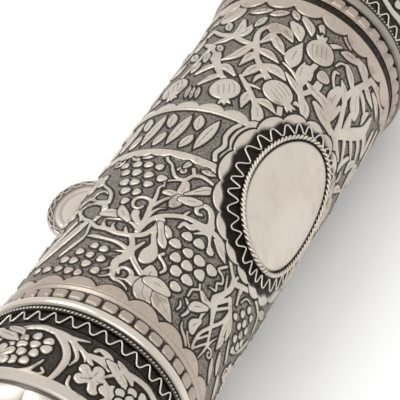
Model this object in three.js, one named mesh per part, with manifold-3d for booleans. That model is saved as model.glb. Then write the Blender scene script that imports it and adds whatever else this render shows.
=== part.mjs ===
// Case of a small Esther scroll: a chased silver tube that lies on its side.
// Millimetres, +Z up. The case's axis runs along X: the handle points to -X, the finial to +X.
// Turns around the axis are in degrees from straight up, and grow towards -Y.
import * as THREE from 'three';
import { mergeVertices } from 'three/addons/utils/BufferGeometryUtils.js';
import Module from 'manifold-3d';

const wasm = await Module();
wasm.setup();

// Driving dimensions of the tube
const bodyRadius = 22.5;
const wall = 0.9;
const fieldLength = 106.2;
const tubeTail = 10.9;
const relief = 0.45;
const seatGap = 0.1;
const facets = 28;
const waves = 40;

// Borders and trim at each end, measured along the axis away from the chased field
const beadStart = 0.7;
const beadWidth = 3.1;
const beadHeight = 0.7;
const ringStart = 4.2;
const ringWidth = 2.4;
const ringHeight = 1.35;
const twistedStart = 7.0;
const twistedRadius = 0.42;
const zigzagStart = 8.1;
const zigzagWidth = 2.5;
const zigzagWire = 0.26;
const flatDepth = 0.2;

// End sections
const drumStart = 11.1;
const drumLength = 14.2;
const drumSwell = 0.6;
const rimWidth = 2.7;
const rimHeight = 0.9;
const domeDepth = 9.5;
const domeLobes = 14;
const bowlShare = 0.65;
const lobeDepth = 0.7;
const neckRadius = 6.2;
const tenonRadius = 2.8;
const tenonClearance = 0.2;
const handleLength = 58;
const handleRadius = 6.6;
const finialLength = 21;
const finialRadius = 5.6;

// Cartouche on the front
const cartoucheAngle = 61.2;
const cartoucheShare = 0.4875;
const cartoucheHalfWidth = 10.7;
const cartoucheHalfLength = 17.9;
const plateThickness = 0.7;
const plateSides = 28;
const cartoucheWireRadius = 0.55;
const cartoucheWireOffset = 0.7;
const cartoucheWireSteps = 36;
const cartoucheZigzagOffset = 1.6;
const cartoucheZigzagDepth = 2.6;
const cartoucheMargin = 1.0;
const cartoucheWaves = 29;

// Pull bar in the slot, with its thumb plate
const slotAngle = -90;
const slotWidth = 3.0;
const slotMargin = 5.0;
const slotClearance = 0.3;
const barWidth = 4.8;
const barThickness = 1.1;
const barTongue = 1.4;
const thumbShare = 0.417;
const thumbHalfWidth = 8.25;
const thumbReach = 5.9;
const thumbThickness = 1.2;
const rimWire = 0.7;

// Chased ornament
const grapeRadius = 1.1;
const pomegranateRadius = 3.2;
const leafRadius = 4.6;
const almondLength = 6.0;
const almondWidth = 2.4;
const stemWidth = 1.0;
const lowerScallops = 20;
const lowerCusp = 18.2;
const upperScallops = 21;
const upperCusp = 35.5;
const scallopDepth = 3.0;
const cuspShare = 0.45;
const strokeLength = 9.0;
const strokeWidth = 1.5;
const engraveDepth = 0.3;
const drumBunches = 3;

const silver = { color: 0xc9c3b8, roughness: 0.4, metalness: 1 };
const polished = { color: 0xdedad0, roughness: 0.25, metalness: 1 };
const blackened = { color: 0x8d877c, roughness: 0.5, metalness: 1 };

const degrees = Math.PI / 180;

// A point of the case: turn in degrees, place along the axis from the lower ridge, radius.
function casePoint(turn, place, radius) {
  const angle = turn * degrees;
  return [place, -radius * Math.sin(angle), radius * Math.cos(angle)];
}

// A closed body from its corners and triangles, turned outwards if its volume is negative.
function bodyOf(corners, triangles) {
  const geometry = new THREE.BufferGeometry();
  geometry.setAttribute('position', new THREE.Float32BufferAttribute(corners.flat(), 3));
  geometry.setIndex(triangles.flat());
  return solidOf(geometry);
}

function solidOf(source) {
  const geometry = source.clone();
  geometry.deleteAttribute('normal');
  geometry.deleteAttribute('uv');
  const merged = mergeVertices(geometry, 1e-4);
  const position = merged.attributes.position;
  const index = Array.from(merged.index.array);
  const kept = [];
  let volume = 0;
  const [a, b, c] = [new THREE.Vector3(), new THREE.Vector3(), new THREE.Vector3()];
  for (let i = 0; i < index.length; i += 3) {
    const [p, q, r] = [index[i], index[i + 1], index[i + 2]];
    if (p === q || q === r || r === p) continue;
    a.fromBufferAttribute(position, p);
    b.fromBufferAttribute(position, q);
    c.fromBufferAttribute(position, r);
    volume += a.dot(b.cross(c));
    kept.push([p, q, r]);
  }
  const faces = volume < 0 ? kept.map(([p, q, r]) => [p, r, q]) : kept;
  return new wasm.Manifold(new wasm.Mesh({
    numProp: 3,
    vertProperties: new Float32Array(position.array),
    triVerts: new Uint32Array(faces.flat()),
  }));
}

function geometryOf(solid) {
  const mesh = solid.getMesh();
  const geometry = new THREE.BufferGeometry();
  geometry.setAttribute('position', new THREE.BufferAttribute(new Float32Array(mesh.vertProperties), 3));
  geometry.setIndex(new THREE.BufferAttribute(new Uint32Array(mesh.triVerts), 1));
  geometry.computeVertexNormals();
  return geometry;
}

// Revolves a closed profile of [place, radius] pairs around the case's axis. The wave
// function, where given, returns what to add to the radius at a turn and a place.
function revolve(profile, segments, wave) {
  const points = profile.map(([place, radius]) => new THREE.Vector2(radius, place));
  const closed = profile[0][1] > 0;
  if (closed) points.push(points[0].clone());
  const geometry = new THREE.LatheGeometry(points, segments);
  const position = geometry.attributes.position;
  const stride = points.length;
  for (let i = 0; i < position.count; i += 1) {
    const column = Math.floor(i / stride) % segments;
    const { x: radius, y: place } = points[i % stride];
    const turn = (column * 360) / segments;
    const grown = radius + (wave && radius > 0 ? wave(turn, place, radius) : 0);
    position.setXYZ(i, ...casePoint(turn, place, grown));
  }
  return solidOf(geometry);
}

// Raises a star-shaped outline of [across, along] pairs from the surface of a given radius.
function raised(outline, turn, place, radius, height = relief) {
  const corners = [];
  for (const level of [radius - engraveDepth, radius + height]) {
    corners.push(casePoint(turn, place, level));
    for (const [across, along] of outline) {
      corners.push(casePoint(turn + across / radius / degrees, place + along, level));
    }
  }
  const count = outline.length;
  const top = count + 1;
  const triangles = [];
  for (let i = 0; i < count; i += 1) {
    const next = (i + 1) % count;
    triangles.push([0, 1 + next, 1 + i], [top, top + 1 + i, top + 1 + next]);
    triangles.push([1 + i, 1 + next, top + 1 + next], [1 + i, top + 1 + next, top + 1 + i]);
  }
  return bodyOf(corners, triangles);
}

// Raises a small convex outline with a flat top, such as a single grape.
function raisedStud(outline, turn, place, radius, height = relief) {
  const corners = [];
  for (const level of [radius - engraveDepth, radius + height]) {
    for (const [across, along] of outline) {
      corners.push(casePoint(turn + across / radius / degrees, place + along, level));
    }
  }
  const count = outline.length;
  const triangles = [];
  for (let i = 0; i < count; i += 1) {
    const next = (i + 1) % count;
    triangles.push([i, next, count + next], [i, count + next, count + i]);
    if (i > 1) triangles.push([0, i, i - 1], [count, count + i - 1, count + i]);
  }
  return bodyOf(corners, triangles);
}

// Raises a band of even width along a path of [turn, place] pairs.
function raisedBand(path, width, radius, height = relief) {
  const corners = [];
  path.forEach((point, i) => {
    const before = path[Math.max(i - 1, 0)];
    const after = path[Math.min(i + 1, path.length - 1)];
    const across = (after[0] - before[0]) * degrees * radius;
    const along = after[1] - before[1];
    const length = Math.hypot(across, along);
    const side = [(-along / length) * (width / 2), (across / length) * (width / 2)];
    for (const sign of [-1, 1]) {
      const turn = point[0] + (sign * side[0]) / radius / degrees;
      const place = point[1] + sign * side[1];
      corners.push(casePoint(turn, place, radius - engraveDepth), casePoint(turn, place, radius + height));
    }
  });
  const triangles = [[0, 2, 3], [0, 3, 1]];
  for (let i = 0; i + 1 < path.length; i += 1) {
    const a = 4 * i;
    const b = a + 4;
    for (const [p, q] of [[0, 1], [1, 3], [3, 2], [2, 0]]) {
      triangles.push([a + p, a + q, b + q], [a + p, b + q, b + p]);
    }
  }
  const last = 4 * (path.length - 1);
  triangles.push([last, last + 3, last + 2], [last, last + 1, last + 3]);
  return bodyOf(corners, triangles);
}

// A wire of few sides along closed or open corner points.
function wire(points, radius, sides, closed) {
  const corners = [];
  const count = points.length;
  points.forEach((point, i) => {
    const before = points[closed ? (i + count - 1) % count : Math.max(i - 1, 0)];
    const after = points[closed ? (i + 1) % count : Math.min(i + 1, count - 1)];
    const here = new THREE.Vector3(...point);
    const along = new THREE.Vector3(...after).sub(new THREE.Vector3(...before)).normalize();
    const outward = new THREE.Vector3(0, point[1], point[2]).normalize();
    const side = new THREE.Vector3().crossVectors(along, outward).normalize();
    const lift = new THREE.Vector3().crossVectors(side, along);
    for (let k = 0; k < sides; k += 1) {
      const angle = (2 * Math.PI * (k + 0.5)) / sides;
      const corner = here.clone();
      corner.addScaledVector(side, radius * Math.cos(angle));
      corner.addScaledVector(lift, radius * Math.sin(angle));
      corners.push(corner.toArray());
    }
  });
  const triangles = [];
  const runs = closed ? count : count - 1;
  for (let i = 0; i < runs; i += 1) {
    const next = (i + 1) % count;
    for (let k = 0; k < sides; k += 1) {
      const turned = (k + 1) % sides;
      const [p, q] = [i * sides + k, i * sides + turned];
      const [r, s] = [next * sides + turned, next * sides + k];
      triangles.push([p, q, r], [p, r, s]);
    }
  }
  if (!closed) {
    for (let k = 1; k + 1 < sides; k += 1) {
      const end = (count - 1) * sides;
      triangles.push([0, k + 1, k], [end, end + k, end + k + 1]);
    }
  }
  return bodyOf(corners, triangles);
}

// Outlines, in millimetres across and along
function discOutline(radius, sides) {
  return Array.from({ length: sides }, (_, i) => {
    const angle = (2 * Math.PI * (i + 0.5)) / sides;
    return [radius * Math.cos(angle), radius * Math.sin(angle)];
  });
}

function almondOutline(length, width, lean) {
  const shape = [[0, -0.5], [0.5, -0.05], [0, 0.5], [-0.5, -0.05]];
  return shape.map(([across, along]) => turned([across * width, along * length], lean));
}

function leafOutline(radius, lobes, lean) {
  const outline = [];
  for (let i = 0; i < 2 * lobes; i += 1) {
    const angle = (Math.PI * (i + 1)) / lobes;
    const reach = i % 2 ? radius : radius * 0.55;
    outline.push(turned([reach * Math.sin(angle), reach * Math.cos(angle)], lean));
  }
  return outline;
}

function pomegranateOutline(radius, lean) {
  const crown = [[0.2, 1], [0.45, 1.55], [0, 1.25], [-0.45, 1.55], [-0.2, 1]];
  const sides = 5;
  const belly = Array.from({ length: sides }, (_, i) => {
    const angle = Math.PI * (0.75 + (1.5 * i) / (sides - 1));
    return [Math.cos(angle), Math.sin(angle)];
  });
  return [...crown, ...belly].map(([across, along]) => turned([across * radius, along * radius], lean));
}

function turned([across, along], lean) {
  const angle = lean * degrees;
  const [c, s] = [Math.cos(angle), Math.sin(angle)];
  return [across * c + along * s, along * c - across * s];
}

// A bunch of grapes: rows that narrow towards the tip.
function grapes(turn, place, rows, radius) {
  const pitch = 2.3 * grapeRadius;
  const beads = [];
  rows.forEach((count, row) => {
    for (let i = 0; i < count; i += 1) {
      const across = (i - (count - 1) / 2) * pitch;
      const along = ((rows.length - 1) / 2 - row) * pitch * 0.88;
      const seat = turn + across / radius / degrees;
      beads.push(raisedStud(discOutline(grapeRadius, 5), seat, place + along, radius));
    }
  });
  return beads;
}

function join(parts) {
  return parts.reduce((whole, part) => whole.add(part));
}

const fieldPlace = (share) => share * fieldLength;

// True where ornament of a given reach stays outside the cartouche's zigzag border.
function clearOfCartouche(turn, place, reach) {
  const border = cartoucheZigzagOffset + cartoucheZigzagDepth + cartoucheMargin + reach;
  const across = ((turn - cartoucheAngle) * degrees * bodyRadius) / (cartoucheHalfWidth + border);
  const along = (place - fieldPlace(cartoucheShare)) / (cartoucheHalfLength + border);
  return Math.hypot(across, along) > 1;
}

// The raised strip with a scalloped edge that borders the chased field. One cusp lies at the
// given turn.
function scallopBorder(edge, direction, scallops, cusp) {
  const corners = [];
  const columns = 2 * scallops;
  for (let i = 0; i < columns; i += 1) {
    const turn = cusp + (i * 360) / columns;
    const reach = i % 2 ? scallopDepth : scallopDepth * cuspShare;
    for (const place of [edge, edge + direction * reach]) {
      corners.push(casePoint(turn, place, bodyRadius - engraveDepth));
      corners.push(casePoint(turn, place, bodyRadius + relief));
    }
  }
  const triangles = [];
  for (let i = 0; i < columns; i += 1) {
    const a = 4 * i;
    const b = 4 * ((i + 1) % columns);
    for (const [p, q] of [[0, 1], [1, 3], [3, 2], [2, 0]]) {
      triangles.push([a + p, a + q, b + q], [a + p, b + q, b + p]);
    }
  }
  return bodyOf(corners, triangles);
}

// Chased ornament: vine below, inscription band on the front, pomegranates above
function vineField() {
  const parts = [];
  const bunches = [[-17, 0.325, [3, 4, 3]], [32, 0.17, [3, 4, 3]], [-22, 0.09, [2, 1]],
    [182, 0.2, [2, 1]]];
  for (const [turn, share, rows] of bunches) {
    parts.push(...grapes(turn, fieldPlace(share), rows, bodyRadius));
  }
  const leaves = [[14, 0.335, 5, 20], [8, 0.1, 3, -30], [56, 0.075, 3, 60], [-50, 0.2, 4, -20],
    [150, 0.12, 4, 0]];
  for (const [turn, share, lobes, lean] of leaves) {
    parts.push(raised(leafOutline(leafRadius, lobes, lean), turn, fieldPlace(share), bodyRadius));
  }
  return parts;
}

function pomegranateField() {
  const parts = [];
  const fruits = [[-5, 0.644, 180], [22, 0.695, 120], [28, 0.867, 0], [-37, 0.665, 150], [-33, 0.92, 20],
    [94, 0.84, 0], [172, 0.68, 180]];
  for (const [turn, share, lean] of fruits) {
    const place = fieldPlace(share);
    parts.push(raised(pomegranateOutline(pomegranateRadius, lean), turn, place, bodyRadius));
    for (const side of [-1, 1]) {
      const outline = almondOutline(almondLength, almondWidth, side * 40 + lean);
      const [leafTurn, leafPlace] = [turn + side * 15, place - side * almondLength * 0.7];
      if (clearOfCartouche(leafTurn, leafPlace, almondLength / 2)) {
        parts.push(raised(outline, leafTurn, leafPlace, bodyRadius));
      }
    }
  }
  return parts;
}

function inscriptionBand() {
  const parts = [];
  const [from, to] = [-52, 4];
  const steps = 5;
  for (const share of [0.42, 0.58]) {
    const path = Array.from({ length: steps + 1 }, (_, i) => [from + ((to - from) * i) / steps, fieldPlace(share)]);
    parts.push(raisedBand(path, 2 * stemWidth, bodyRadius));
  }
  const strokes = 7;
  for (let i = 0; i < strokes; i += 1) {
    const turn = from + ((to - from) * (i + 0.5)) / strokes;
    const length = i % 2 ? strokeLength : strokeLength * 0.6;
    parts.push(raised(almondOutline(length, strokeWidth, 12), turn, fieldPlace(0.5), bodyRadius));
  }
  return parts;
}

function stems() {
  const parts = [];
  const arcs = [[-40, 0.21, 22, 0.03], [10, 0.25, 22, 0.03], [182, 0.27, 24, 0.05], [-20, 0.78, 16, 0.05]];
  const steps = 4;
  for (const [turn, share, spread, rise] of arcs) {
    const path = Array.from({ length: steps + 1 }, (_, i) => {
      const along = (2 * i) / steps - 1;
      return [turn + spread * along, fieldPlace(share + rise * (1 - along * along))];
    });
    parts.push(raisedBand(path, stemWidth, bodyRadius));
  }
  return parts;
}

function caseTube() {
  const innerRadius = bodyRadius - wall;
  const [start, end] = [-tubeTail, fieldLength + tubeTail];
  const shell = revolve([[start, innerRadius], [start, bodyRadius], [end, bodyRadius], [end, innerRadius]], facets);
  const borders = [scallopBorder(0, 1, lowerScallops, lowerCusp),
    scallopBorder(fieldLength, -1, upperScallops, upperCusp)];
  const ornament = [...borders, ...vineField(), ...inscriptionBand(), ...pomegranateField(), ...stems()];
  const slot = new THREE.BoxGeometry(fieldLength - 2 * slotMargin, 4 * wall, slotWidth);
  const [, y, z] = casePoint(slotAngle, 0, bodyRadius - wall / 2);
  slot.translate(fieldLength / 2, y, z);
  return join([shell, ...ornament]).subtract(solidOf(slot));
}

// Trim at one end. The side is -1 below the field and 1 above it.
function endPlace(side, distance) {
  return side < 0 ? -distance : fieldLength + distance;
}

function beadBand(side) {
  const inner = bodyRadius + seatGap;
  const [near, far] = [endPlace(side, beadStart), endPlace(side, beadStart + beadWidth)];
  const profile = [[near, inner], [(near + far) / 2, inner + beadHeight], [far, inner]];
  const gap = (turn, place, radius) => {
    const column = Math.round((turn * waves) / 180);
    return column % 2 && radius > inner + beadHeight / 2 ? -0.6 * beadHeight : 0;
  };
  return revolve(profile, 2 * waves, gap);
}

function polishedRing(side) {
  const inner = bodyRadius + seatGap;
  const [near, far] = [endPlace(side, ringStart), endPlace(side, ringStart + ringWidth)];
  const step = (share) => near + (far - near) * share;
  const outer = bodyRadius + ringHeight;
  const flank = bodyRadius + 0.5 * ringHeight;
  const ring = revolve([[near, inner], [step(0.05), flank], [step(0.35), outer], [step(0.65), outer],
    [step(0.95), flank], [far, inner]], facets);
  const under = new THREE.BoxGeometry(4 * ringWidth, 2 * outer, outer);
  under.translate((near + far) / 2, 0, flatDepth - 1.5 * outer);
  return ring.subtract(solidOf(under));
}

function twistedRing(side) {
  const place = endPlace(side, twistedStart + twistedRadius);
  const lift = bodyRadius + seatGap + twistedRadius;
  const points = Array.from({ length: facets }, (_, i) => casePoint((i * 360) / facets, place, lift));
  return wire(points, twistedRadius, 3, true);
}

function zigzagRing(side) {
  const lift = bodyRadius + seatGap + zigzagWire;
  const points = Array.from({ length: 2 * waves }, (_, i) => {
    const reach = zigzagStart + zigzagWire + (i % 2) * (zigzagWidth - 2 * zigzagWire);
    return casePoint((i * 180) / waves, endPlace(side, reach), lift);
  });
  return wire(points, zigzagWire, 3, true);
}

// The swelling drum, thin-walled, with its bunches and leaves
function drum(side) {
  const inner = bodyRadius - wall;
  const outline = [];
  const steps = 3;
  for (let i = 0; i <= steps; i += 1) {
    const share = i / steps;
    const swell = drumSwell * Math.sin(Math.PI * share);
    outline.push([endPlace(side, drumStart + drumLength * share), bodyRadius + swell]);
  }
  const far = endPlace(side, drumStart + drumLength);
  const near = endPlace(side, drumStart);
  const shell = revolve([...outline, [far, inner], [near, inner]], facets);
  const parts = [shell];
  const middle = endPlace(side, drumStart + drumLength * 0.5);
  const surface = bodyRadius + drumSwell * 0.8;
  for (let i = 0; i < drumBunches; i += 1) {
    const turn = (360 * i) / drumBunches - 15;
    parts.push(...grapes(turn, middle, [2, 1], surface));
    parts.push(raised(leafOutline(leafRadius, 3, 30), turn + 60, middle, surface));
  }
  return join(parts);
}

// The lobed dome that closes the end, with a plain band around its rim
function dome(side) {
  const start = drumStart + drumLength + seatGap;
  const rim = bodyRadius + rimHeight;
  const hole = tenonRadius + tenonClearance;
  const place = (distance) => endPlace(side, start + distance);
  const bowl = (share) => neckRadius + (bodyRadius - neckRadius) * Math.sqrt(1 - share * share);
  const outside = [[place(0), rim], [place(rimWidth), rim], [place(rimWidth), bodyRadius]];
  outside.push([place(rimWidth + domeDepth * bowlShare), bowl(bowlShare)]);
  outside.push([place(rimWidth + domeDepth), neckRadius]);
  const inside = [[place(rimWidth + domeDepth), hole], [place(rimWidth + domeDepth - wall), hole],
    [place(rimWidth + domeDepth * bowlShare - wall), bowl(bowlShare) - wall], [place(0), bodyRadius - wall]];
  const lobes = (turn, _, radius) => {
    const outer = radius < rim && radius > neckRadius && Math.round((turn * domeLobes * 2) / 360) % 2;
    return outer ? -lobeDepth : 0;
  };
  return revolve([...outside, ...inside], facets, lobes);
}

// Turned handle and finial. Each profile pair is a share of the length and of the radius.
function turnedPiece(side, length, radius, shares, sides) {
  const seat = drumStart + drumLength + seatGap + rimWidth + domeDepth;
  const tenonEnd = endPlace(side, seat - 2 * wall);
  const profile = [[tenonEnd, 0], [tenonEnd, tenonRadius], [endPlace(side, seat + seatGap), tenonRadius]];
  for (const [along, out] of shares) {
    profile.push([endPlace(side, seat + seatGap + along * length), out * radius]);
  }
  return revolve(profile, sides);
}

function handle() {
  return turnedPiece(-1, handleLength, handleRadius, [[0, 0.85], [0.05, 0.85], [0.08, 0.5], [0.14, 0.55],
    [0.19, 1], [0.24, 0.55], [0.3, 0.6], [0.52, 0.9], [0.7, 0.72], [0.8, 0.5], [0.85, 0.9], [0.92, 0.95],
    [0.97, 0.6], [1, 0]], 10);
}

function finial() {
  return turnedPiece(1, finialLength, finialRadius, [[0, 0.9], [0.12, 0.9], [0.2, 0.5], [0.34, 0.62],
    [0.5, 1], [0.66, 0.8], [0.76, 0.4], [0.86, 0.45], [0.94, 0.32], [1, 0]], 10);
}

// Cartouche: outline points around the oval, on the tube
function ovalPoint(angle, offset, radius) {
  const across = (cartoucheHalfWidth + offset) * Math.cos(angle);
  const along = (cartoucheHalfLength + offset) * Math.sin(angle);
  const turn = cartoucheAngle + across / bodyRadius / degrees;
  return casePoint(turn, fieldPlace(cartoucheShare) + along, radius);
}

function cartouchePlate() {
  const start = bodyRadius + seatGap;
  const length = cartoucheHalfLength * 1.2;
  const middle = fieldPlace(cartoucheShare);
  const shell = revolve([[middle - length, start], [middle - length, start + plateThickness],
    [middle + length, start + plateThickness], [middle + length, start]], facets);
  const corners = [];
  for (const level of [bodyRadius * 0.5, bodyRadius * 1.5]) {
    for (let i = 0; i < plateSides; i += 1) {
      const angle = (2 * Math.PI * i) / plateSides;
      const across = bodyRadius * Math.sin((cartoucheHalfWidth * Math.cos(angle)) / bodyRadius);
      const along = cartoucheHalfLength * Math.sin(angle);
      const turn = cartoucheAngle * degrees;
      const [y, z] = [-level * Math.sin(turn) - across * Math.cos(turn), level * Math.cos(turn) - across * Math.sin(turn)];
      corners.push([middle + along, y, z]);
    }
  }
  const triangles = [];
  for (let i = 0; i < plateSides; i += 1) {
    const next = (i + 1) % plateSides;
    triangles.push([i, next, plateSides + next], [i, plateSides + next, plateSides + i]);
    if (i > 1) triangles.push([0, i, i - 1], [plateSides, plateSides + i - 1, plateSides + i]);
  }
  return shell.intersect(bodyOf(corners, triangles));
}

function cartoucheTwistedWire() {
  const lift = bodyRadius + 2 * seatGap + cartoucheWireRadius;
  const points = Array.from({ length: cartoucheWireSteps }, (_, i) =>
    ovalPoint((2 * Math.PI * i) / cartoucheWireSteps, cartoucheWireOffset, lift));
  return wire(points, cartoucheWireRadius, 3, true);
}

function cartoucheZigzag() {
  const lift = bodyRadius + 2 * seatGap + zigzagWire;
  const points = Array.from({ length: 2 * cartoucheWaves }, (_, i) =>
    ovalPoint((Math.PI * i) / cartoucheWaves, cartoucheZigzagOffset + (i % 2) * cartoucheZigzagDepth, lift));
  return wire(points, zigzagWire, 3, true);
}

// Pull bar: a flange over the slot with a tongue in it
function pullBar() {
  const length = fieldLength - 2 * slotMargin - 2 * slotClearance;
  const inner = bodyRadius + 2 * seatGap;
  const flange = new THREE.BoxGeometry(length, barThickness, barWidth);
  flange.translate(fieldLength / 2, inner + barThickness / 2, 0);
  const tongue = new THREE.BoxGeometry(length, barTongue + barThickness / 2, slotWidth - 2 * slotClearance);
  tongue.translate(fieldLength / 2, inner + barThickness / 2 - (barTongue + barThickness / 2) / 2, 0);
  return solidOf(flange).add(solidOf(tongue));
}

const thumbRoot = bodyRadius + 2 * seatGap + barThickness + seatGap;

function thumbOutline(offset, steps) {
  const middle = fieldPlace(thumbShare);
  return Array.from({ length: steps + 1 }, (_, i) => {
    const angle = (Math.PI * i) / steps;
    const out = (thumbReach + offset) * Math.sin(angle);
    return [middle + (thumbHalfWidth + offset) * Math.cos(angle), thumbRoot + out];
  });
}

function thumbPlate() {
  const shape = new THREE.Shape(thumbOutline(0, 16).map(([x, y]) => new THREE.Vector2(x, y)));
  const plate = new THREE.ExtrudeGeometry(shape, { depth: thumbThickness, bevelEnabled: false });
  plate.translate(0, 0, -thumbThickness / 2);
  return solidOf(plate);
}

function thumbRim() {
  const points = thumbOutline(rimWire + seatGap, 18).slice(1, -1).map(([x, y]) => [x, y, 0]);
  return wire(points, rimWire, 5, false);
}

const caseGroup = new THREE.Group();

function addPiece(name, solid, look) {
  const mesh = new THREE.Mesh(geometryOf(solid), new THREE.MeshStandardMaterial(look));
  mesh.name = name;
  caseGroup.add(mesh);
}

addPiece('case_tube', caseTube(), silver);
for (const [end, side] of [['lower', -1], ['upper', 1]]) {
  addPiece(`${end}_bead_band`, beadBand(side), silver);
  addPiece(`${end}_ring`, polishedRing(side), polished);
  addPiece(`${end}_twisted_wire`, twistedRing(side), blackened);
  addPiece(`${end}_zigzag_wire`, zigzagRing(side), polished);
  addPiece(`${end}_drum`, drum(side), blackened);
  addPiece(`${end}_dome`, dome(side), silver);
}
addPiece('handle', handle(), polished);
addPiece('finial', finial(), polished);
addPiece('cartouche_plate', cartouchePlate(), polished);
addPiece('cartouche_twisted_wire', cartoucheTwistedWire(), silver);
addPiece('cartouche_zigzag_wire', cartoucheZigzag(), polished);
addPiece('pull_bar', pullBar(), polished);
addPiece('thumb_plate', thumbPlate(), polished);
addPiece('thumb_rim', thumbRim(), silver);

// The origin is under the middle of the whole case: half way along, half way across, on the floor.
const endReach = drumStart + drumLength + seatGap + rimWidth + domeDepth + seatGap;
const lowEnd = -(endReach + handleLength);
const highEnd = fieldLength + endReach + finialLength;
const ringReach = bodyRadius + ringHeight;
const thumbEnd = thumbRoot + thumbReach + 2 * rimWire + seatGap;
caseGroup.position.set(-(lowEnd + highEnd) / 2, -(thumbEnd - ringReach) / 2, ringReach - flatDepth);

export default caseGroup;
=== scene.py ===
import math
import bpy
import numpy as np
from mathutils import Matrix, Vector


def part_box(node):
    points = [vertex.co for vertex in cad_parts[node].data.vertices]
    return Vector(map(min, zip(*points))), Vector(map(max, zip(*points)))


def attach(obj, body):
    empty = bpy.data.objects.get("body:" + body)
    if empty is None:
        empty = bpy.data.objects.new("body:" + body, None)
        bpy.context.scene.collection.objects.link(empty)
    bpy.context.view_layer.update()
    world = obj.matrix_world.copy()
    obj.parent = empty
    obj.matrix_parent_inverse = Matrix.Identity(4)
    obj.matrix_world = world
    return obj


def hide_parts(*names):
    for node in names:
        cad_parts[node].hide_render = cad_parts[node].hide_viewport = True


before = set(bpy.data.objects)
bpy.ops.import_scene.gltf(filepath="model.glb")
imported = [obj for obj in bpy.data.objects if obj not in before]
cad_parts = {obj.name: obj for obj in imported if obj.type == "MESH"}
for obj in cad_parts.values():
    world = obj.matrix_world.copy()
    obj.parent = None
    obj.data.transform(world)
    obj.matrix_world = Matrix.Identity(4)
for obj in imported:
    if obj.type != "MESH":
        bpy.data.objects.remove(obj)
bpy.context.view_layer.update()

# The case tube. Sheet silver, rolled and soldered along a slot for the parchment, chased all
# over with vines, an inscription band and pomegranates, then oxidised and rubbed bright again.
# The other pieces are soldered to it, rest in its slot, or are held by pieces that do.
MM = 0.001
RELIEF = 0.45
WALL = 0.9
TUBE_TAIL = 10.9
SLOT_TURN = 270.0
SLOT_WIDTH = 3.0
SLOT_MARGIN = 5.0
FACING_TURN = 25.3
MOAT = 0.3

tube_low, tube_high = (np.array(corner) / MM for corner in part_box("case_tube"))
AXIS_Y, AXIS_Z = (tube_low[1:] + tube_high[1:]) / 2
RADIUS = (tube_high[2] - tube_low[2]) / 2 - RELIEF
RIDGE_X = tube_low[0] + TUBE_TAIL
FIELD = tube_high[0] - tube_low[0] - 2 * TUBE_TAIL


def on_case(turn, place, radius):
    """Points in metres: the place runs along X from the lower ridge, and the radius turns in
    degrees from straight up towards -Y."""
    angle = np.radians(turn)
    x = RIDGE_X + place + 0 * angle
    points = np.broadcast_arrays(x, AXIS_Y - radius * np.sin(angle), AXIS_Z + radius * np.cos(angle))
    return np.stack(points, axis=-1) * MM


def put_mesh(name, points, faces, smooth=True):
    """A mesh object from points and a list of face arrays, each with one corner count."""
    mesh = bpy.data.meshes.new(name)
    corners = np.concatenate([np.asarray(part).ravel() for part in faces])
    sizes = np.concatenate([np.full(len(part), np.shape(part)[1]) for part in faces])
    mesh.vertices.add(len(points))
    mesh.loops.add(len(corners))
    mesh.polygons.add(len(sizes))
    mesh.vertices.foreach_set("co", np.asarray(points, dtype=np.float32).ravel())
    mesh.polygons.foreach_set("loop_start", np.concatenate([[0], np.cumsum(sizes)[:-1]]).astype(np.int32))
    mesh.polygons.foreach_set("vertices", corners.astype(np.int32))
    mesh.polygons.foreach_set("use_smooth", np.full(len(sizes), smooth))
    mesh.update(calc_edges=True)
    mesh.validate()
    piece = bpy.data.objects.new(name, mesh)
    bpy.context.collection.objects.link(piece)
    return piece


def set_values(piece, name, values):
    """Stores one number per point as a named attribute of the mesh."""
    layer = piece.data.attributes.new(name, "FLOAT", "POINT")
    layer.data.foreach_set("value", np.asarray(values, dtype=np.float32).ravel())


def smooth_step(low, high, value):
    """Zero below low, one above high, and 3s^2 - 2s^3 of the share s between them."""
    share = np.clip((value - low) / (high - low), 0, 1)
    return share * share * (3 - 2 * share)


def leaning(x, y, lean):
    """Coordinates across and along an axis that leans clockwise from +y, in degrees."""
    angle = math.radians(lean)
    return x * math.cos(angle) - y * math.sin(angle), x * math.sin(angle) + y * math.cos(angle)


def to_segment(x, y, start, end):
    """Distance from points to a straight segment, and the share along it of the nearest place."""
    dx, dy = end[0] - start[0], end[1] - start[1]
    share = np.clip(((x - start[0]) * dx + (y - start[1]) * dy) / (dx * dx + dy * dy + 1e-9), 0, 1)
    return np.hypot(x - start[0] - share * dx, y - start[1] - share * dy), share


def grape(radius, squeeze=1.0, corner=0.0):
    """A disc, slightly longer than wide, whose radius swells a little at three soft corners."""
    def shape(x, y):
        swell = 1 + 0.07 * np.cos(3 * (np.arctan2(y, x) + corner))
        return radius * swell - np.hypot(x * squeeze, y / squeeze), np.full(np.broadcast(x, y).shape, 1.0)
    return shape


def almond(length, width, lean, ribs=True):
    """A pointed oval between two circle arcs, with a midrib and short side veins."""
    arc = (length * length + width * width) / (4 * width)
    inset = arc - width / 2

    def shape(x, y):
        u, v = leaning(x, y, lean)
        inside = arc - np.hypot(np.abs(u) + inset, v)
        line = np.hypot(u, np.maximum(np.abs(v + 0.08 * length) - 0.3 * length, 0))
        if ribs:
            slant = np.abs((v - 0.9 * np.abs(u)) % 1.5 - 0.75)
            side = np.where((np.abs(v) < 0.28 * length) & (np.abs(u) < 0.3 * width), slant, 1.0)
            line = np.minimum(line, side + 0.03)
        return inside, line
    return shape


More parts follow.
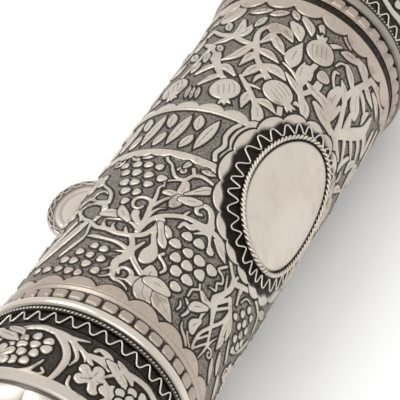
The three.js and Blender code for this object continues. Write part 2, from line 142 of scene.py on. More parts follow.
def vine_leaf(size, lobes, lean, spread=130.0):
    """Round-tipped lobes that fan out from the leaf's foot, each with a vein down its middle."""
    fan = np.linspace(-spread, spread, lobes)

    def shape(x, y):
        u, v = leaning(x, y, lean)
        inside = 0.3 * size - np.hypot(u, v)
        line = np.full(inside.shape, 1.0)
        for angle in np.radians(fan):
            reach = size * (1.0 - 0.22 * abs(angle) / math.radians(spread))
            tip = (0.68 * reach * math.sin(angle), 0.68 * reach * math.cos(angle))
            away, share = to_segment(u, v, (0.0, 0.0), tip)
            inside = np.maximum(inside, size * (0.13 + 0.19 * share) - away)
            near, _ = to_segment(u, v, (0.0, 0.0), (0.95 * tip[0], 0.95 * tip[1]))
            line = np.minimum(line, near)
        return inside, line
    return shape


def pomegranate(radius, lean):
    """A ball with a crown of three points, and score lines that bow with the ball."""
    def shape(x, y):
        u, v = leaning(x, y, lean)
        inside = radius - np.hypot(u, v * 0.94)
        for tilt in (-34, 0, 34):
            tip_u, tip_v = leaning(u, v - 0.95 * radius, tilt)
            inside = np.maximum(inside, almond(1.5 * radius, 0.42 * radius, 0, False)(tip_u, tip_v)[0])
        bow = np.sqrt(np.clip(1 - (v / (0.95 * radius)) ** 2, 0.01, 1))
        line = np.full(inside.shape, 1.0)
        for share in (-0.62, -0.3, 0.05, 0.4):
            score = np.abs(u - share * radius * bow)
            cut = (v > (-0.5 + 0.25 * share) * radius) & (v < 0.55 * radius)
            line = np.minimum(line, np.where(cut, score, 1.0))
        return inside, line
    return shape


def smooth_path(points, steps=6):
    """Points on a Catmull-Rom curve through the given points."""
    points = np.asarray(points, dtype=float)
    padded = np.concatenate([[2 * points[0] - points[1]], points, [2 * points[-1] - points[-2]]])
    share = np.linspace(0, 1, steps, endpoint=False)[:, None]
    runs = []
    for before, start, end, after in zip(padded, padded[1:], padded[2:], padded[3:]):
        curve = 2 * start + (end - before) * share
        curve = curve + (2 * before - 5 * start + 4 * end - after) * share ** 2
        curve = curve + (3 * start - before - 3 * end + after) * share ** 3
        runs.append(curve / 2)
    return np.concatenate(runs + [points[-1:]])


class Chasing:
    """The drawing on an unrolled surface: for each grid point the distance inside the nearest
    raised outline (negative on the ground), and the distance to the nearest engraved vein."""

    def __init__(self, turns, places, radius):
        self.turns, self.places, self.radius = turns, places, radius
        self.edge = np.full((len(places), len(turns)), -1.5)
        self.vein = np.full((len(places), len(turns)), 1.0)

    def stamp(self, spot, reach, shape, moat=MOAT):
        """Lays a shape over the drawing at (degrees, radii), with a dark moat cut around it; it
        grows out of what it touches where the moat is None."""
        turn, place = spot[0] + FACING_TURN, spot[1] * RADIUS
        across = np.radians((self.turns - turn + 180) % 360 - 180) * self.radius
        along = self.places - place
        columns = np.flatnonzero(np.abs(across) < reach)
        rows = np.flatnonzero(np.abs(along) < reach)
        if len(columns) == 0 or len(rows) == 0:
            return
        window = np.ix_(rows, columns)
        inside, line = shape(across[columns][None, :], along[rows][:, None])
        below = self.edge[window] if moat is None else np.minimum(self.edge[window], -inside - moat)
        self.edge[window] = np.maximum(inside, below)
        self.vein[window] = np.where(inside > 0, line, self.vein[window])

    def blade(self, spots, widths, rib=False, moat=None):
        """Lays a form along a curve through (degrees, radii) points: its width swells and tapers
        through the given widths, and a rib line may be cut down its middle."""
        path = smooth_path(np.column_stack([spots, widths]), 5)
        middle = path[:, :2].mean(axis=0)
        local = np.stack([np.radians(path[:, 0] - middle[0]) * self.radius,
                          (path[:, 1] - middle[1]) * RADIUS], axis=1)
        halves = np.maximum(path[:, 2], 0.1) / 2
        reach = np.abs(local).max() + halves.max() + 1.0

        def shape(x, y):
            inside = np.full(np.broadcast(x, y).shape, -9.0)
            line = np.full(inside.shape, 1.0)
            for i in range(len(local) - 1):
                away, share = to_segment(x, y, local[i], local[i + 1])
                inside = np.maximum(inside, halves[i] + (halves[i + 1] - halves[i]) * share - away)
                if rib and 2 < i < len(local) - 4:
                    line = np.minimum(line, away)
            return inside, line
        self.stamp(middle, reach, shape, moat)

    def stem(self, spots, width=0.9, tip=0.45):
        """Lays a curved stem that tapers evenly to its tip and joins what it touches."""
        self.blade(spots, np.linspace(width, tip, len(spots)))

    def curl(self, spot, radius, start, sense):
        """Lays a spiral tendril that winds inwards over an open middle, a little more than once."""
        angle = math.radians(start) + sense * np.linspace(0, 2 * math.pi * 1.15, 16)
        reach = radius * np.linspace(1, 0.2, 16)
        degrees = np.degrees(reach * np.sin(angle) / self.radius)
        spots = np.stack([spot[0] + degrees, spot[1] + reach * np.cos(angle) / RADIUS], axis=1)
        self.stem(spots, 0.62, 0.465)

    def bunch(self, spot, rows, radius, pitch, seed):
        """Lays a bunch of grapes in rows, each shifted a little by chance."""
        chance = np.random.default_rng(seed)
        for row, count in enumerate(rows):
            for i in range(count):
                x = (i - (count - 1) / 2) * pitch + chance.uniform(-0.15, 0.15)
                y = ((len(rows) - 1) / 2 - row) * pitch * 0.98 + chance.uniform(-0.15, 0.15)
                seat = (spot[0] + math.degrees(x / self.radius), spot[1] + y / RADIUS)
                self.stamp(seat, 2.2 * radius, grape(radius, chance.uniform(0.96, 1.16)))

    def grapes(self, spots, radius, seed):
        """Lays single grapes at (degrees, radii) spots, each a little uneven by chance."""
        chance = np.random.default_rng(seed)
        for spot in spots:
            size = radius * chance.uniform(0.92, 1.08)
            squeeze = chance.uniform(0.93, 1.1)
            self.stamp(spot, 2.2 * radius, grape(size, squeeze, chance.uniform(0, 6)))

    def spray(self, spot, length, lean, pairs, size=5.2, bow=8.0):
        """Lays a bowed stem with pointed leaves in pairs and one leaf at its tip."""
        shares = np.linspace(-0.5, 0.5, 5)
        u, v = bow * (0.25 - shares ** 2) * length / 20, shares * length
        angle = math.radians(lean)
        x = u * math.cos(angle) + v * math.sin(angle)
        y = -u * math.sin(angle) + v * math.cos(angle)
        spots = np.stack([spot[0] + np.degrees(x / self.radius), spot[1] + y / RADIUS], axis=1)
        self.stem(spots, 0.8, 0.5)
        curve = smooth_path(spots)
        for i in range(pairs):
            foot = curve[int((i + 0.5) / pairs * 0.85 * len(curve))]
            for side in (-1, 1):
                turn = math.radians(lean + side * 48)
                x, y = 0.52 * size * math.sin(turn), 0.52 * size * math.cos(turn)
                seat = (foot[0] + math.degrees(x / self.radius), foot[1] + y / RADIUS)
                self.stamp(seat, size, almond(size, 0.4 * size, lean + side * 48))
        tip = math.radians(lean)
        seat = (curve[-1][0] + math.degrees(0.4 * size * math.sin(tip) / self.radius),
                curve[-1][1] + 0.4 * size * math.cos(tip) / RADIUS)
        self.stamp(seat, size, almond(size, 0.42 * size, lean))


# Columns run once around from one side of the slot to the other, finer where the case is seen
# from the front; rows run along the case, finer in the chased field than under the end trim.
FINE_STEP = 0.2
slot_half = math.degrees(SLOT_WIDTH / 2 / RADIUS)
slot_edges = (SLOT_TURN - 360 + slot_half, SLOT_TURN - slot_half)
fine_turn = math.degrees(FINE_STEP / RADIUS)
turns = np.concatenate([
    np.arange(slot_edges[0], 112.0, fine_turn),
    np.linspace(112.0, slot_edges[1], 124),
    np.linspace(slot_edges[1], slot_edges[0] + 360, 6)[1:-1]])
slot_rows = (SLOT_MARGIN, FIELD - SLOT_MARGIN)
places = np.concatenate([
    np.linspace(-TUBE_TAIL, 0, 12, endpoint=False),
    np.linspace(0, slot_rows[0], 25, endpoint=False),
    np.linspace(*slot_rows, 1 + round((slot_rows[1] - slot_rows[0]) / FINE_STEP)),
    np.linspace(slot_rows[1], FIELD, 26)[1:],
    np.linspace(FIELD, FIELD + TUBE_TAIL, 13)[1:]])
around = (turns - FACING_TURN + 180) % 360 - 180
across_grid, along_grid = np.meshgrid(around, places / RADIUS)
chased = Chasing(turns, places, RADIUS)

# Vine field, below the inscription band: places are degrees from the line that faces the
# viewer, and tube radii above the lower ridge; each blade has its widths in millimetres.
for spots, widths in (
        ([(-73, 1.3), (-69, 1.17), (-60, 1.01), (-54, 0.95), (-47, 0.85), (-41, 0.83), (-34, 0.79),
          (-28, 0.79), (-24, 0.81), (-20, 0.86), (-18, 0.94), (-16, 1.04)], [0.6, 0.8, 0.9, 1, 1.1, 1.2,
          1.3, 1.3, 1.3, 1.3, 1.2, 1.6]),
        ([(-24, 0.87), (-23, 1), (-21, 1.08), (-18, 1.15), (-14, 1.2), (-9, 1.25), (-5, 1.27), (-1, 1.28),
          (3, 1.29), (6, 1.3)], [1.3, 1.4, 1.3, 1.2, 1.2, 1.2, 1.3, 1.3, 1.5, 2.4]),
        ([(-24, 0.93), (-24, 1.03), (-25, 1.13), (-26, 1.24), (-26, 1.3), (-27, 1.41), (-28, 1.48),
          (-27, 1.53)], [1.3, 1.3, 1.2, 1.2, 1, 0.8, 0.7, 0.5]),
        ([(-26, 1.24), (-28, 1.3), (-32, 1.32), (-35.5, 1.29), (-36, 1.23), (-34, 1.17), (-31, 1.16),
          (-29.5, 1.2)], [1, 1, 0.9, 0.85, 0.8, 0.75, 0.7, 0.6]),
        ([(-25, 1.24), (-23, 1.32), (-21, 1.38), (-18, 1.43)], [0.9, 0.8, 0.7, 0.6]),
        ([(-24, 1.09), (-23, 1.17), (-21, 1.23), (-18, 1.26)], [1, 0.7, 0.45, 0.2]),
        ([(-44, 0.97), (-35, 0.97), (-29, 0.95), (-24, 0.89)], [0.5, 0.6, 0.8, 1.1]),
        ([(-31, 1.1), (-30, 1.05), (-26, 0.97)], [1.8, 1.7, 1.3]),
        ([(-42, 0.83), (-44, 0.9), (-45, 0.97)], [1.3, 0.9, 0.4]),
        ([(-35, 0.8), (-38, 0.87), (-38, 0.92)], [1.2, 0.8, 0.4]),
        ([(-28, 0.79), (-30, 0.85), (-31, 0.89)], [1.1, 0.8, 0.4]),
        ([(-25, 0.79), (-22, 0.69), (-21, 0.58), (-22, 0.5), (-24, 0.43), (-23, 0.35), (-22, 0.28),
          (-20, 0.23), (-17, 0.225), (-14, 0.21), (-11, 0.17)], [1.3, 1.3, 2.3, 2, 1.9, 1.6, 1.3, 0.9,
          0.7, 0.55, 0.35]),
        ([(-21, 0.6), (-19, 0.7), (-17.5, 0.77)], [1.2, 0.9, 0.6]),
        ([(-22, 0.6), (-25, 0.64), (-28, 0.68)], [1.2, 0.8, 0.4]),
        ([(-22, 0.59), (-26, 0.57), (-31, 0.56)], [0.9, 0.5, 0.15]),
        ([(-22, 0.54), (-25, 0.5), (-29, 0.46)], [0.8, 0.4, 0.15]),
        ([(-22, 0.29), (-24, 0.24), (-27, 0.21), (-30, 0.23)], [0.9, 0.5, 0.4, 0.2]),
        ([(-24, 0.37), (-26, 0.32), (-31, 0.26)], [1.1, 0.5, 0.2]),
        ([(-13, 0.28), (-13, 0.34), (-15, 0.39), (-18.5, 0.4), (-20.5, 0.36), (-19.5, 0.31)], [1.4, 1.2,
          1, 0.9, 0.8, 0.6]),
        ([(-20, 0.24), (-17.5, 0.255), (-13, 0.28)], [0.5, 0.5, 0.6]),
        ([(-17, 1.1), (-16, 1.05), (-15, 1)], [2, 1.6, 1.4]),
        ([(-17, 1.06), (-16, 0.92), (-13, 0.8), (-12, 0.74)], [1.4, 1.1, 1.3, 1.6]),
        ([(-13, 0.81), (-12, 0.74), (-12, 0.66), (-12.5, 0.59), (-14, 0.565)], [1.1, 2.2, 3.4, 2.6, 1]),
        ([(-6, 0.75), (-7, 0.7), (-3, 0.65), (-1, 0.6), (-2, 0.54)], [0.8, 0.8, 0.8, 0.8, 0.6]),
        ([(18, 0.73), (19, 0.68), (16, 0.62), (16, 0.53)], [0.6, 0.6, 0.6, 0.5]),
        ([(25, 1.13), (22, 1.03), (26, 1.01), (28, 0.95), (25.5, 0.9), (27, 0.83), (23, 0.8)], [0.7, 0.7,
          0.6, 0.6, 0.6, 0.6, 0.4]),
        ([(28, 1.07), (31, 0.96), (32, 0.89)], [0.4, 0.6, 0.3]),
        ([(6, 1.27), (6, 1.36), (4, 1.44), (1, 1.5), (-3, 1.5), (-5, 1.44), (-3.5, 1.38), (-1, 1.39)],
          [2.6, 1.9, 1.5, 1.4, 1.3, 1.1, 0.9, 0.7]),
        ([(-7, 1.12), (-6, 1.19), (-2, 1.19), (0, 1.24), (4, 1.27)], [0.7, 1.1, 1.5, 1.7, 2]),
        ([(1, 1.15), (4, 1.21), (6, 1.27)], [0.4, 0.9, 1.7]),
        ([(6, 1.29), (9, 1.22), (11, 1.15), (13, 1.1)], [2, 0.9, 0.8, 1.9]),
        ([(-8, 1.26), (-8, 1.31), (-7, 1.35)], [0.8, 0.7, 0.4]),
        ([(-18, 1.86), (-16, 1.79), (-17, 1.75), (-19, 1.68), (-24, 1.69), (-28, 1.78)], [0.9, 0.9, 0.9,
          1.1, 0.9, 0.8]),
        ([(-16, 1.78), (-12, 1.81), (-7, 1.8), (-3, 1.78)], [1, 1, 0.9, 0.8]),
        ([(-26, 1.52), (-27, 1.59), (-23, 1.64), (-20, 1.67)], [0.4, 0.5, 0.5, 0.6]),
        ([(-50, 1.22), (-51, 1.28), (-53, 1.36), (-57, 1.44), (-61, 1.5), (-64, 1.55)], [1, 1, 0.9, 0.8,
          0.7, 0.7]),
        ([(-50, 1.22), (-58, 1.26), (-64, 1.33), (-64, 1.41), (-59, 1.42), (-55.5, 1.37)], [1, 0.8, 0.7,
          0.6, 0.6, 0.5]),
        ([(-58, 0.43), (-54, 0.57), (-51, 0.66), (-50, 0.74), (-52, 0.9)], [0.3, 1, 0.8, 0.7, 0.8]),
        ([(-48, 0.72), (-43, 0.71), (-37, 0.69), (-32, 0.68), (-27, 0.655), (-23, 0.62)], [0.5, 1.1, 0.9,
          1, 1.1, 1.3]),
        ([(-62, 1.01), (-66, 1.12), (-68, 1.22), (-60, 1.24), (-53, 1.2)], [1, 0.7, 0.6, 0.8, 1.2]),
        ([(-52, 1.2), (-49, 1.08), (-51, 0.96)], [1.4, 1.6, 1]),
        ([(8, 1.3), (13, 1.29), (19, 1.25), (24, 1.22), (28, 1.16), (33, 1.1)], [1.4, 1.4, 1.2, 1, 0.9,
          1.2]),
        ([(33, 1.1), (34, 1.18), (32, 1.25)], [1.1, 0.7, 0.3]),
        ([(33, 1.09), (34, 1), (32, 0.88), (30, 0.76)], [1.5, 1.4, 1.4, 2.4]),
        ([(34, 1.08), (40, 1.16), (46, 1.23), (53, 1.28), (60, 1.3), (67, 1.3), (72, 1.2)], [1.5, 1.4,
          1.1, 0.9, 0.8, 0.7, 0.6]),
        ([(40, 1.14), (41, 1.06), (43, 0.98)], [1.2, 0.9, 0.7]),
        ([(45, 1.05), (47, 1.15), (52, 1.19)], [0.45, 0.5, 0.4]),
        ([(30, 0.73), (34, 0.6), (37, 0.5), (40, 0.39), (41, 0.32), (40, 0.17)], [2.2, 1.3, 0.9, 0.8, 0.7,
          0.4]),
        ([(29, 0.68), (28, 0.51), (29, 0.38)], [1.1, 0.8, 0.5]),
        ([(31, 0.74), (37, 0.92)], [1.2, 1]),
        ([(33, 0.69), (40, 0.87)], [0.8, 0.7]),
        ([(42, 0.84), (41, 0.69), (37, 0.54)], [1, 0.9, 0.9]),
        ([(36, 0.5), (33, 0.37), (32.5, 0.27), (34, 0.16), (39, 0.16)], [0.9, 0.8, 0.8, 0.7, 0.5]),
        ([(33, 0.28), (38, 0.44)], [0.6, 0.6]),
        ([(34, 0.18), (40, 0.37)], [0.6, 0.6]),
        ([(41, 0.36), (42, 0.44), (44, 0.53)], [0.9, 0.5, 0.3]),
        ([(14, 0.43), (15.5, 0.38), (15, 0.32)], [0.4, 0.6, 0.4]),
        ([(16, 0.49), (19, 0.45), (20.5, 0.4), (19, 0.31)], [0.5, 0.8, 0.8, 0.5]),
        ([(21, 0.27), (22.5, 0.21), (27, 0.165), (31, 0.1)], [0.4, 0.6, 0.8, 0.5]),
        ([(26, 0.24), (29, 0.18), (34, 0.13)], [0.5, 0.6, 0.4]),
        ([(48, 0.62), (49, 0.55), (48, 0.46)], [0.5, 0.9, 0.4]),
        ([(53, 0.7), (57, 0.63), (62, 0.56)], [0.4, 0.8, 0.5]),
        ([(64, 0.75), (70, 0.9), (74, 1.1)], [1, 0.9, 0.7]),
        ([(-75, 1.3), (-68, 1.36), (-62, 1.3)], [1, 0.9, 0.7]),
        ([(-36, 1.96), (-33, 1.88), (-30, 1.84), (-27, 1.76)], [0.9, 0.8, 0.7, 0.6])):
    chased.blade(spots, widths)
for spots, widths, gap in (
        ([(-49, 1.05), (-45, 1.06), (-40, 1.04)], [1.6, 2.6, 2], 0.1),
        ([(-40, 1.14), (-37, 1.06), (-32, 0.98)], [1.4, 2.3, 1.2], 0.1),
        ([(-20, 0.58), (-15, 0.49), (-10, 0.42), (-7, 0.39)], [1.4, 1.3, 1.3, 1.3], None),
        ([(-7, 0.38), (-6, 0.46), (-7, 0.53)], [2, 3.2, 1.6], None),
        ([(-6, 0.36), (-9, 0.3), (-13, 0.3)], [2.2, 3.2, 1.4], None),
        ([(-6, 0.37), (1, 0.3), (8, 0.24), (17, 0.15)], [2.4, 4.8, 3.6, 0.3], 0.1),
        ([(-6, 0.37), (-5, 0.28), (-3, 0.2), (3, 0.155)], [2.2, 3.8, 3.2, 0.6], 0.1),
        ([(-5, 0.38), (0, 0.4), (6, 0.39)], [2.2, 3.4, 2], 0.1),
        ([(-15, 1.04), (-12, 1.01), (-9.5, 0.97)], [1.2, 2.4, 1.9], 0.1),
        ([(-16, 1.06), (-13, 0.96), (-10, 0.87), (-8, 0.82)], [1.4, 1.3, 2, 1], 0.1),
        ([(-17, 1.47), (-16, 1.55), (-17, 1.64)], [1.1, 2.4, 1.9], None),
        ([(-17, 1.46), (-21, 1.47), (-24, 1.45)], [1.2, 2, 1.1], None),
        ([(-16, 1.46), (-16, 1.39), (-16.5, 1.33)], [1.4, 2.6, 1.6], 0.1),
        ([(-14, 1.44), (-9, 1.47), (-5, 1.51)], [1.8, 2.5, 1.2], 0.1),
        ([(-14, 1.52), (-9, 1.62), (-6, 1.68), (-2, 1.73)], [0.6, 1.7, 2.3, 1], 0.15),
        ([(-74, 0.42), (-68, 0.56), (-63, 0.7), (-59, 0.82), (-56, 0.92)], [0.8, 2.2, 2.6, 2.4, 1.6],
          None),
        ([(-80, 0.4), (-74, 0.6), (-69, 0.8), (-64, 0.98)], [0.6, 1.6, 1.6, 0.9], None),
        ([(12, 1.25), (18, 1.19), (23, 1.14)], [0.9, 1.8, 0.4], None),
        ([(27, 0.66), (24.5, 0.65), (21, 0.68)], [1.2, 1.8, 1], None),
        ([(28, 0.6), (23, 0.52), (20.5, 0.45)], [1.3, 2.4, 1.2], 0.15),
        ([(29, 0.44), (27, 0.35), (28, 0.29)], [1.2, 2.4, 1.7], None),
        ([(37, 0.93), (41, 0.86), (45, 0.81), (48, 0.74), (50, 0.64)], [1.2, 1.3, 1.3, 1.8, 0.8], None),
        ([(42, 0.82), (45, 0.65), (48, 0.46)], [0.9, 1.7, 0.4], None),
        ([(52, 0.5), (56, 0.42), (60, 0.36)], [0.5, 1.6, 0.5], 0.3),
        ([(49, 0.36), (53, 0.28), (58, 0.2)], [0.5, 1.4, 0.4], 0.3),
        ([(62, 0.4), (68, 0.36), (74, 0.3)], [0.5, 1.8, 0.6], 0.3)):
    chased.blade(spots, widths, True, gap)
for spot, radius, start, sense in (
        ((-22.5, 1.79), 1.0, -90, 1), ((45, 0.33), 1.2, -60, 1), ((-64, 1.88), 1.6, 20, 1),
        ((-76, 0.9), 1.5, 0, 1), ((70, 0.55), 1.5, 0, -1)):
    chased.curl(spot, radius, start, sense)
for spot, size, lobes, lean in (
        ((76, 0.62), 3.6, 5, 0), ((-78, 1.15), 3.2, 5, 40), ((-72, 1.62), 3.4, 5, -20)):
    chased.stamp(spot, 1.6 * size, vine_leaf(size, lobes, lean))
for spot, length, width, lean in (
        ((-45, 1.92), 3.6, 1.6, 70), ((-53, 1.9), 3.4, 1.5, -60), ((70, 1.4), 5, 2, 60),
        ((78, 0.9), 5, 2, 20), ((-82, 1.6), 5, 2, 10), ((-82, 0.7), 4.6, 1.8, -10),
        ((-10, 1.89), 3.4, 1.5, 80), ((-22, 1.89), 3.0, 1.4, 20)):
    chased.stamp(spot, 0.8 * length + 1, almond(length, width, lean))
for radius, spots in (
        (1.05, [(-57, 1.8), (-49, 1.8), (-42, 1.79), (-35, 1.77), (-53, 1.68), (-46, 1.67), (-38, 1.64),
          (-30, 1.62), (-49, 1.52), (-43, 1.52), (-35, 1.51), (-45, 1.39), (-38, 1.38), (-41, 1.24)]),
        (1.27, [(-1, 1.08), (-4, 0.93), (6, 1.09), (4, 0.92), (0, 0.79), (11, 0.93), (7, 0.79), (4, 0.66),
          (15, 0.81), (11, 0.66), (8, 0.51), (19, 0.95)]),
        (0.97, [(-40, 0.58), (-34, 0.55), (-46, 0.49), (-39, 0.45), (-32, 0.42), (-52, 0.38), (-46, 0.36),
          (-38, 0.33), (-31, 0.26), (-60, 0.27), (-52, 0.25), (-45, 0.22), (-39, 0.2), (-68, 0.3)]),
        (0.85, [(47, 0.9), (51, 1.02), (54, 1.14), (60, 1.15), (54, 0.91), (57, 1.01), (63, 1.03),
          (60, 0.91), (57, 0.8), (66, 0.92), (61, 0.72), (64, 0.83)])):
    chased.grapes(spots, radius, 3)

# Pomegranate field, above the inscription band: stems and leaves that grow together, then the
# leaves that lie free, and the fruits over them.
for spots, widths in (
        ([(-30, 3.16), (-36, 3.23), (-41, 3.34), (-46, 3.48), (-50, 3.6), (-57, 3.77), (-64, 3.86)], [1.8,
          1.4, 1.6, 2.1, 3, 2, 1]),
        ([(-27, 4.19), (-32, 4.07), (-33, 3.98), (-31, 3.85), (-28, 3.74), (-25, 3.62), (-21, 3.53),
          (-16, 3.44), (-11, 3.36)], [1, 1.3, 1.4, 1.6, 1.6, 1.3, 1.6, 1.6, 2]),
        ([(-66, 4.12), (-56, 3.98), (-47, 3.92)], [1, 1.3, 1.8]),
        ([(-45, 3.9), (-38, 3.83), (-32, 3.8)], [1.3, 1.6, 1.2]),
        ([(-15, 3.42), (-18, 3.35), (-18.5, 3.25)], [1.2, 1.2, 0.3]),
        ([(-29, 4.16), (-26, 4.1), (-23, 4.08)], [1.2, 2.8, 1.4]),
        ([(-27, 3.3), (-21, 3.19), (-16, 3.1), (-12, 3.02), (-10, 2.96)], [0.8, 1.3, 1.3, 1.3, 1.4]),
        ([(-20, 3.2), (-16, 3.21), (-11, 3.2)], [1, 0.8, 0.3]),
        ([(-11, 3.68), (-6, 3.65), (-1, 3.6), (3, 3.55), (6, 3.46), (10, 3.36)], [0.5, 0.8, 1, 1.3, 1.6,
          2]),
        ([(5, 3.93), (4, 3.79), (4, 3.68), (4, 3.56)], [1.2, 1.6, 1.7, 1.4]),
        ([(0, 3.8), (3, 3.77), (6, 3.68)], [0.6, 2.6, 1.2]),
        ([(2, 4.18), (-1, 4.3), (-4, 4.4)], [1.8, 1.2, 1.6]),
        ([(6, 4.24), (9, 4.3), (12, 4.34)], [1.4, 1.2, 0.4]),
        ([(7, 3.44), (10, 3.55), (12, 3.65), (12, 3.78)], [1.2, 1.4, 1.9, 1.8]),
        ([(18.5, 4.03), (16, 4.01), (17, 3.93), (20, 3.85)], [0.5, 0.9, 0.9, 0.8]),
        ([(14.5, 4.08), (16, 4.16), (20, 4.2)], [0.6, 0.7, 0.5]),
        ([(40, 4.5), (37, 4.31), (33, 4.13), (31, 4.02), (30, 3.9), (31, 3.83), (33, 3.74), (36, 3.6),
          (38, 3.48), (42, 3.34)], [1.8, 1.8, 1.6, 1.6, 1.5, 1.5, 1.6, 1.7, 2.4, 1]),
        ([(35, 4.15), (41, 4.12), (46, 4.07)], [1.2, 1.6, 1.2]),
        ([(39, 3.82), (41, 3.71), (42, 3.58)], [1.3, 2.3, 1.9]),
        ([(55, 4.17), (56, 4.04), (55, 3.92), (48, 3.73), (43, 3.6), (38, 3.48)], [1, 2.4, 3, 3, 2.6,
          2.4]),
        ([(44, 3.58), (48, 3.51), (53, 3.4)], [1.3, 1.4, 0.8]),
        ([(47, 3.7), (54, 3.64), (60, 3.6)], [1.4, 1.4, 0.7]),
        ([(53, 3.82), (60, 3.8), (65, 3.73)], [1.4, 1.7, 0.9]),
        ([(57, 3.55), (54, 3.38), (55, 3.29)], [1.2, 1.4, 0.7]),
        ([(58, 3.36), (60, 3.28), (59, 3.18)], [0.6, 0.8, 0.5]),
        ([(34, 3.43), (41, 3.4), (50, 3.34)], [1.5, 1.8, 0.8]),
        ([(30, 3.73), (29, 3.6), (28, 3.47)], [1.2, 1.8, 1.4]),
        ([(1, 3.14), (3, 3.05), (3.5, 2.98)], [1.3, 1.4, 0.8]),
        ([(3, 3.16), (8, 3.13), (12, 3.05)], [1.3, 1.1, 0.7]),
        ([(4, 3.27), (8, 3.3), (12, 3.3)], [1.1, 1.2, 0.5]),
        ([(-82, 3.5), (-76, 3.8), (-70, 4), (-66, 4.12)], [1, 1, 1, 1]),
        ([(-64, 3.3), (-60, 3.55), (-57, 3.77)], [0.9, 1, 1.4])):
    chased.blade(spots, widths)
for spots, widths in (
        ([(-43, 3.37), (-38, 3.39), (-30, 3.28)], [1.3, 2.3, 0.9]),
        ([(-45, 3.41), (-49, 3.38), (-54, 3.28)], [1.3, 1.9, 0.6]),
        ([(-38, 3.25), (-42, 3.2), (-47, 3.09)], [1.2, 1.9, 0.7]),
        ([(-44, 3.49), (-38, 3.57), (-35, 3.66), (-31, 3.82)], [0.3, 2.2, 2.6, 1.4]),
        ([(-47, 3.9), (-45, 4.03), (-47, 4.19)], [1.3, 2.4, 1.2]),
        ([(-46, 3.9), (-41, 3.98), (-39, 4.12)], [1.3, 2.6, 0.7]),
        ([(-58, 3.82), (-51, 3.86), (-46, 3.92)], [0.3, 1.9, 1.4]),
        ([(-27, 3.67), (-29, 3.6), (-31, 3.45)], [1.3, 2.4, 0.5]),
        ([(-28, 3.74), (-21, 3.72), (-13, 3.65)], [1.3, 2.4, 0.6]),
        ([(-20, 3.51), (-23, 3.43), (-26, 3.28)], [1.4, 2.5, 0.6]),
        ([(-20, 3.52), (-12, 3.54), (-4.5, 3.48)], [1.6, 3, 0.7]),
        ([(-25, 4.05), (-26, 3.94), (-29, 3.83)], [1.4, 2, 0.4]),
        ([(-25, 4.02), (-19, 3.9), (-13, 3.79)], [1.3, 2.5, 0.5]),
        ([(-25, 4.18), (-19, 4.11), (-13, 4.01)], [1, 2.7, 0.6]),
        ([(-16, 3.11), (-17, 3.02), (-16, 2.87)], [1.2, 2.3, 0.4]),
        ([(-11, 3), (-7, 2.9), (-4, 2.76)], [1.3, 2.8, 2.1]),
        ([(-12, 3.03), (-6, 3.07), (1, 3.02)], [1.2, 2.2, 0.6]),
        ([(9, 3.4), (13, 3.32), (16, 3.19)], [1.5, 2.8, 1.1]),
        ([(-6, 3.68), (-8, 3.82), (-8, 4.06)], [0.8, 3.9, 0.4]),
        ([(-7, 3.58), (0, 3.5), (6, 3.42)], [0.4, 1.8, 0.9]),
        ([(2, 3.56), (0, 3.69), (-1, 3.84)], [1.5, 2, 0.4]),
        ([(20, 4.2), (25, 4.14), (31, 4.04)], [1.2, 2.2, 1.1]),
        ([(13, 4.28), (18, 4.32), (25, 4.36)], [0.6, 2.6, 1.3]),
        ([(9, 4.51), (13, 4.45), (17, 4.4)], [1.3, 1.4, 0.3]),
        ([(24, 4.38), (30, 4.36), (36, 4.28)], [1.7, 3, 1.3]),
        ([(22, 4), (27, 3.92), (31.5, 3.82)], [0.5, 2.2, 1.6]),
        ([(35, 4.28), (42, 4.24), (51, 4.24)], [1.2, 2, 0.5]),
        ([(39, 4.4), (47, 4.43), (54, 4.44), (61, 4.45), (68, 4.4)], [1.4, 2.1, 2.1, 1.9, 0.8]),
        ([(34, 4.14), (36, 4.01), (39, 3.93), (42, 3.86)], [1, 3, 3.8, 1.8]),
        ([(6, 3.62), (12, 3.59), (20, 3.59), (27, 3.52)], [0.8, 2.2, 2.8, 2]),
        ([(24, 3.87), (23.5, 3.72), (26, 3.54)], [2.4, 3.3, 1.5]),
        ([(16, 3.48), (24, 3.44), (33, 3.41)], [1.4, 3.1, 2]),
        ([(-19, 4.27), (-14, 4.2), (-10, 4.08)], [1.4, 3, 1]),
        ([(-15, 4.4), (-9, 4.31), (-6, 4.21)], [1.6, 2.2, 0.5]),
        ([(56, 3.96), (64, 3.96), (70, 3.89)], [1.8, 2.2, 0.8]),
        ([(45, 4.33), (52, 4.33), (60, 4.29)], [1.2, 2, 0.7]),
        ([(67, 3.71), (63, 3.57), (63, 3.47)], [1.4, 2.2, 1]),
        ([(66, 4.2), (70, 4.05), (72, 3.9)], [1, 2.2, 0.8]),
        ([(50, 4.14), (49, 4.04), (50, 3.95)], [0.6, 1.8, 0.6]),
        ([(72, 4.35), (78, 4.2), (82, 4)], [1, 2.2, 0.8]),
        ([(70, 3.6), (75, 3.45), (79, 3.35)], [1, 2.2, 0.8]),
        ([(62, 3.12), (66, 3.26), (72, 3.36)], [0.8, 2, 0.8])):
    chased.blade(spots, widths, True)
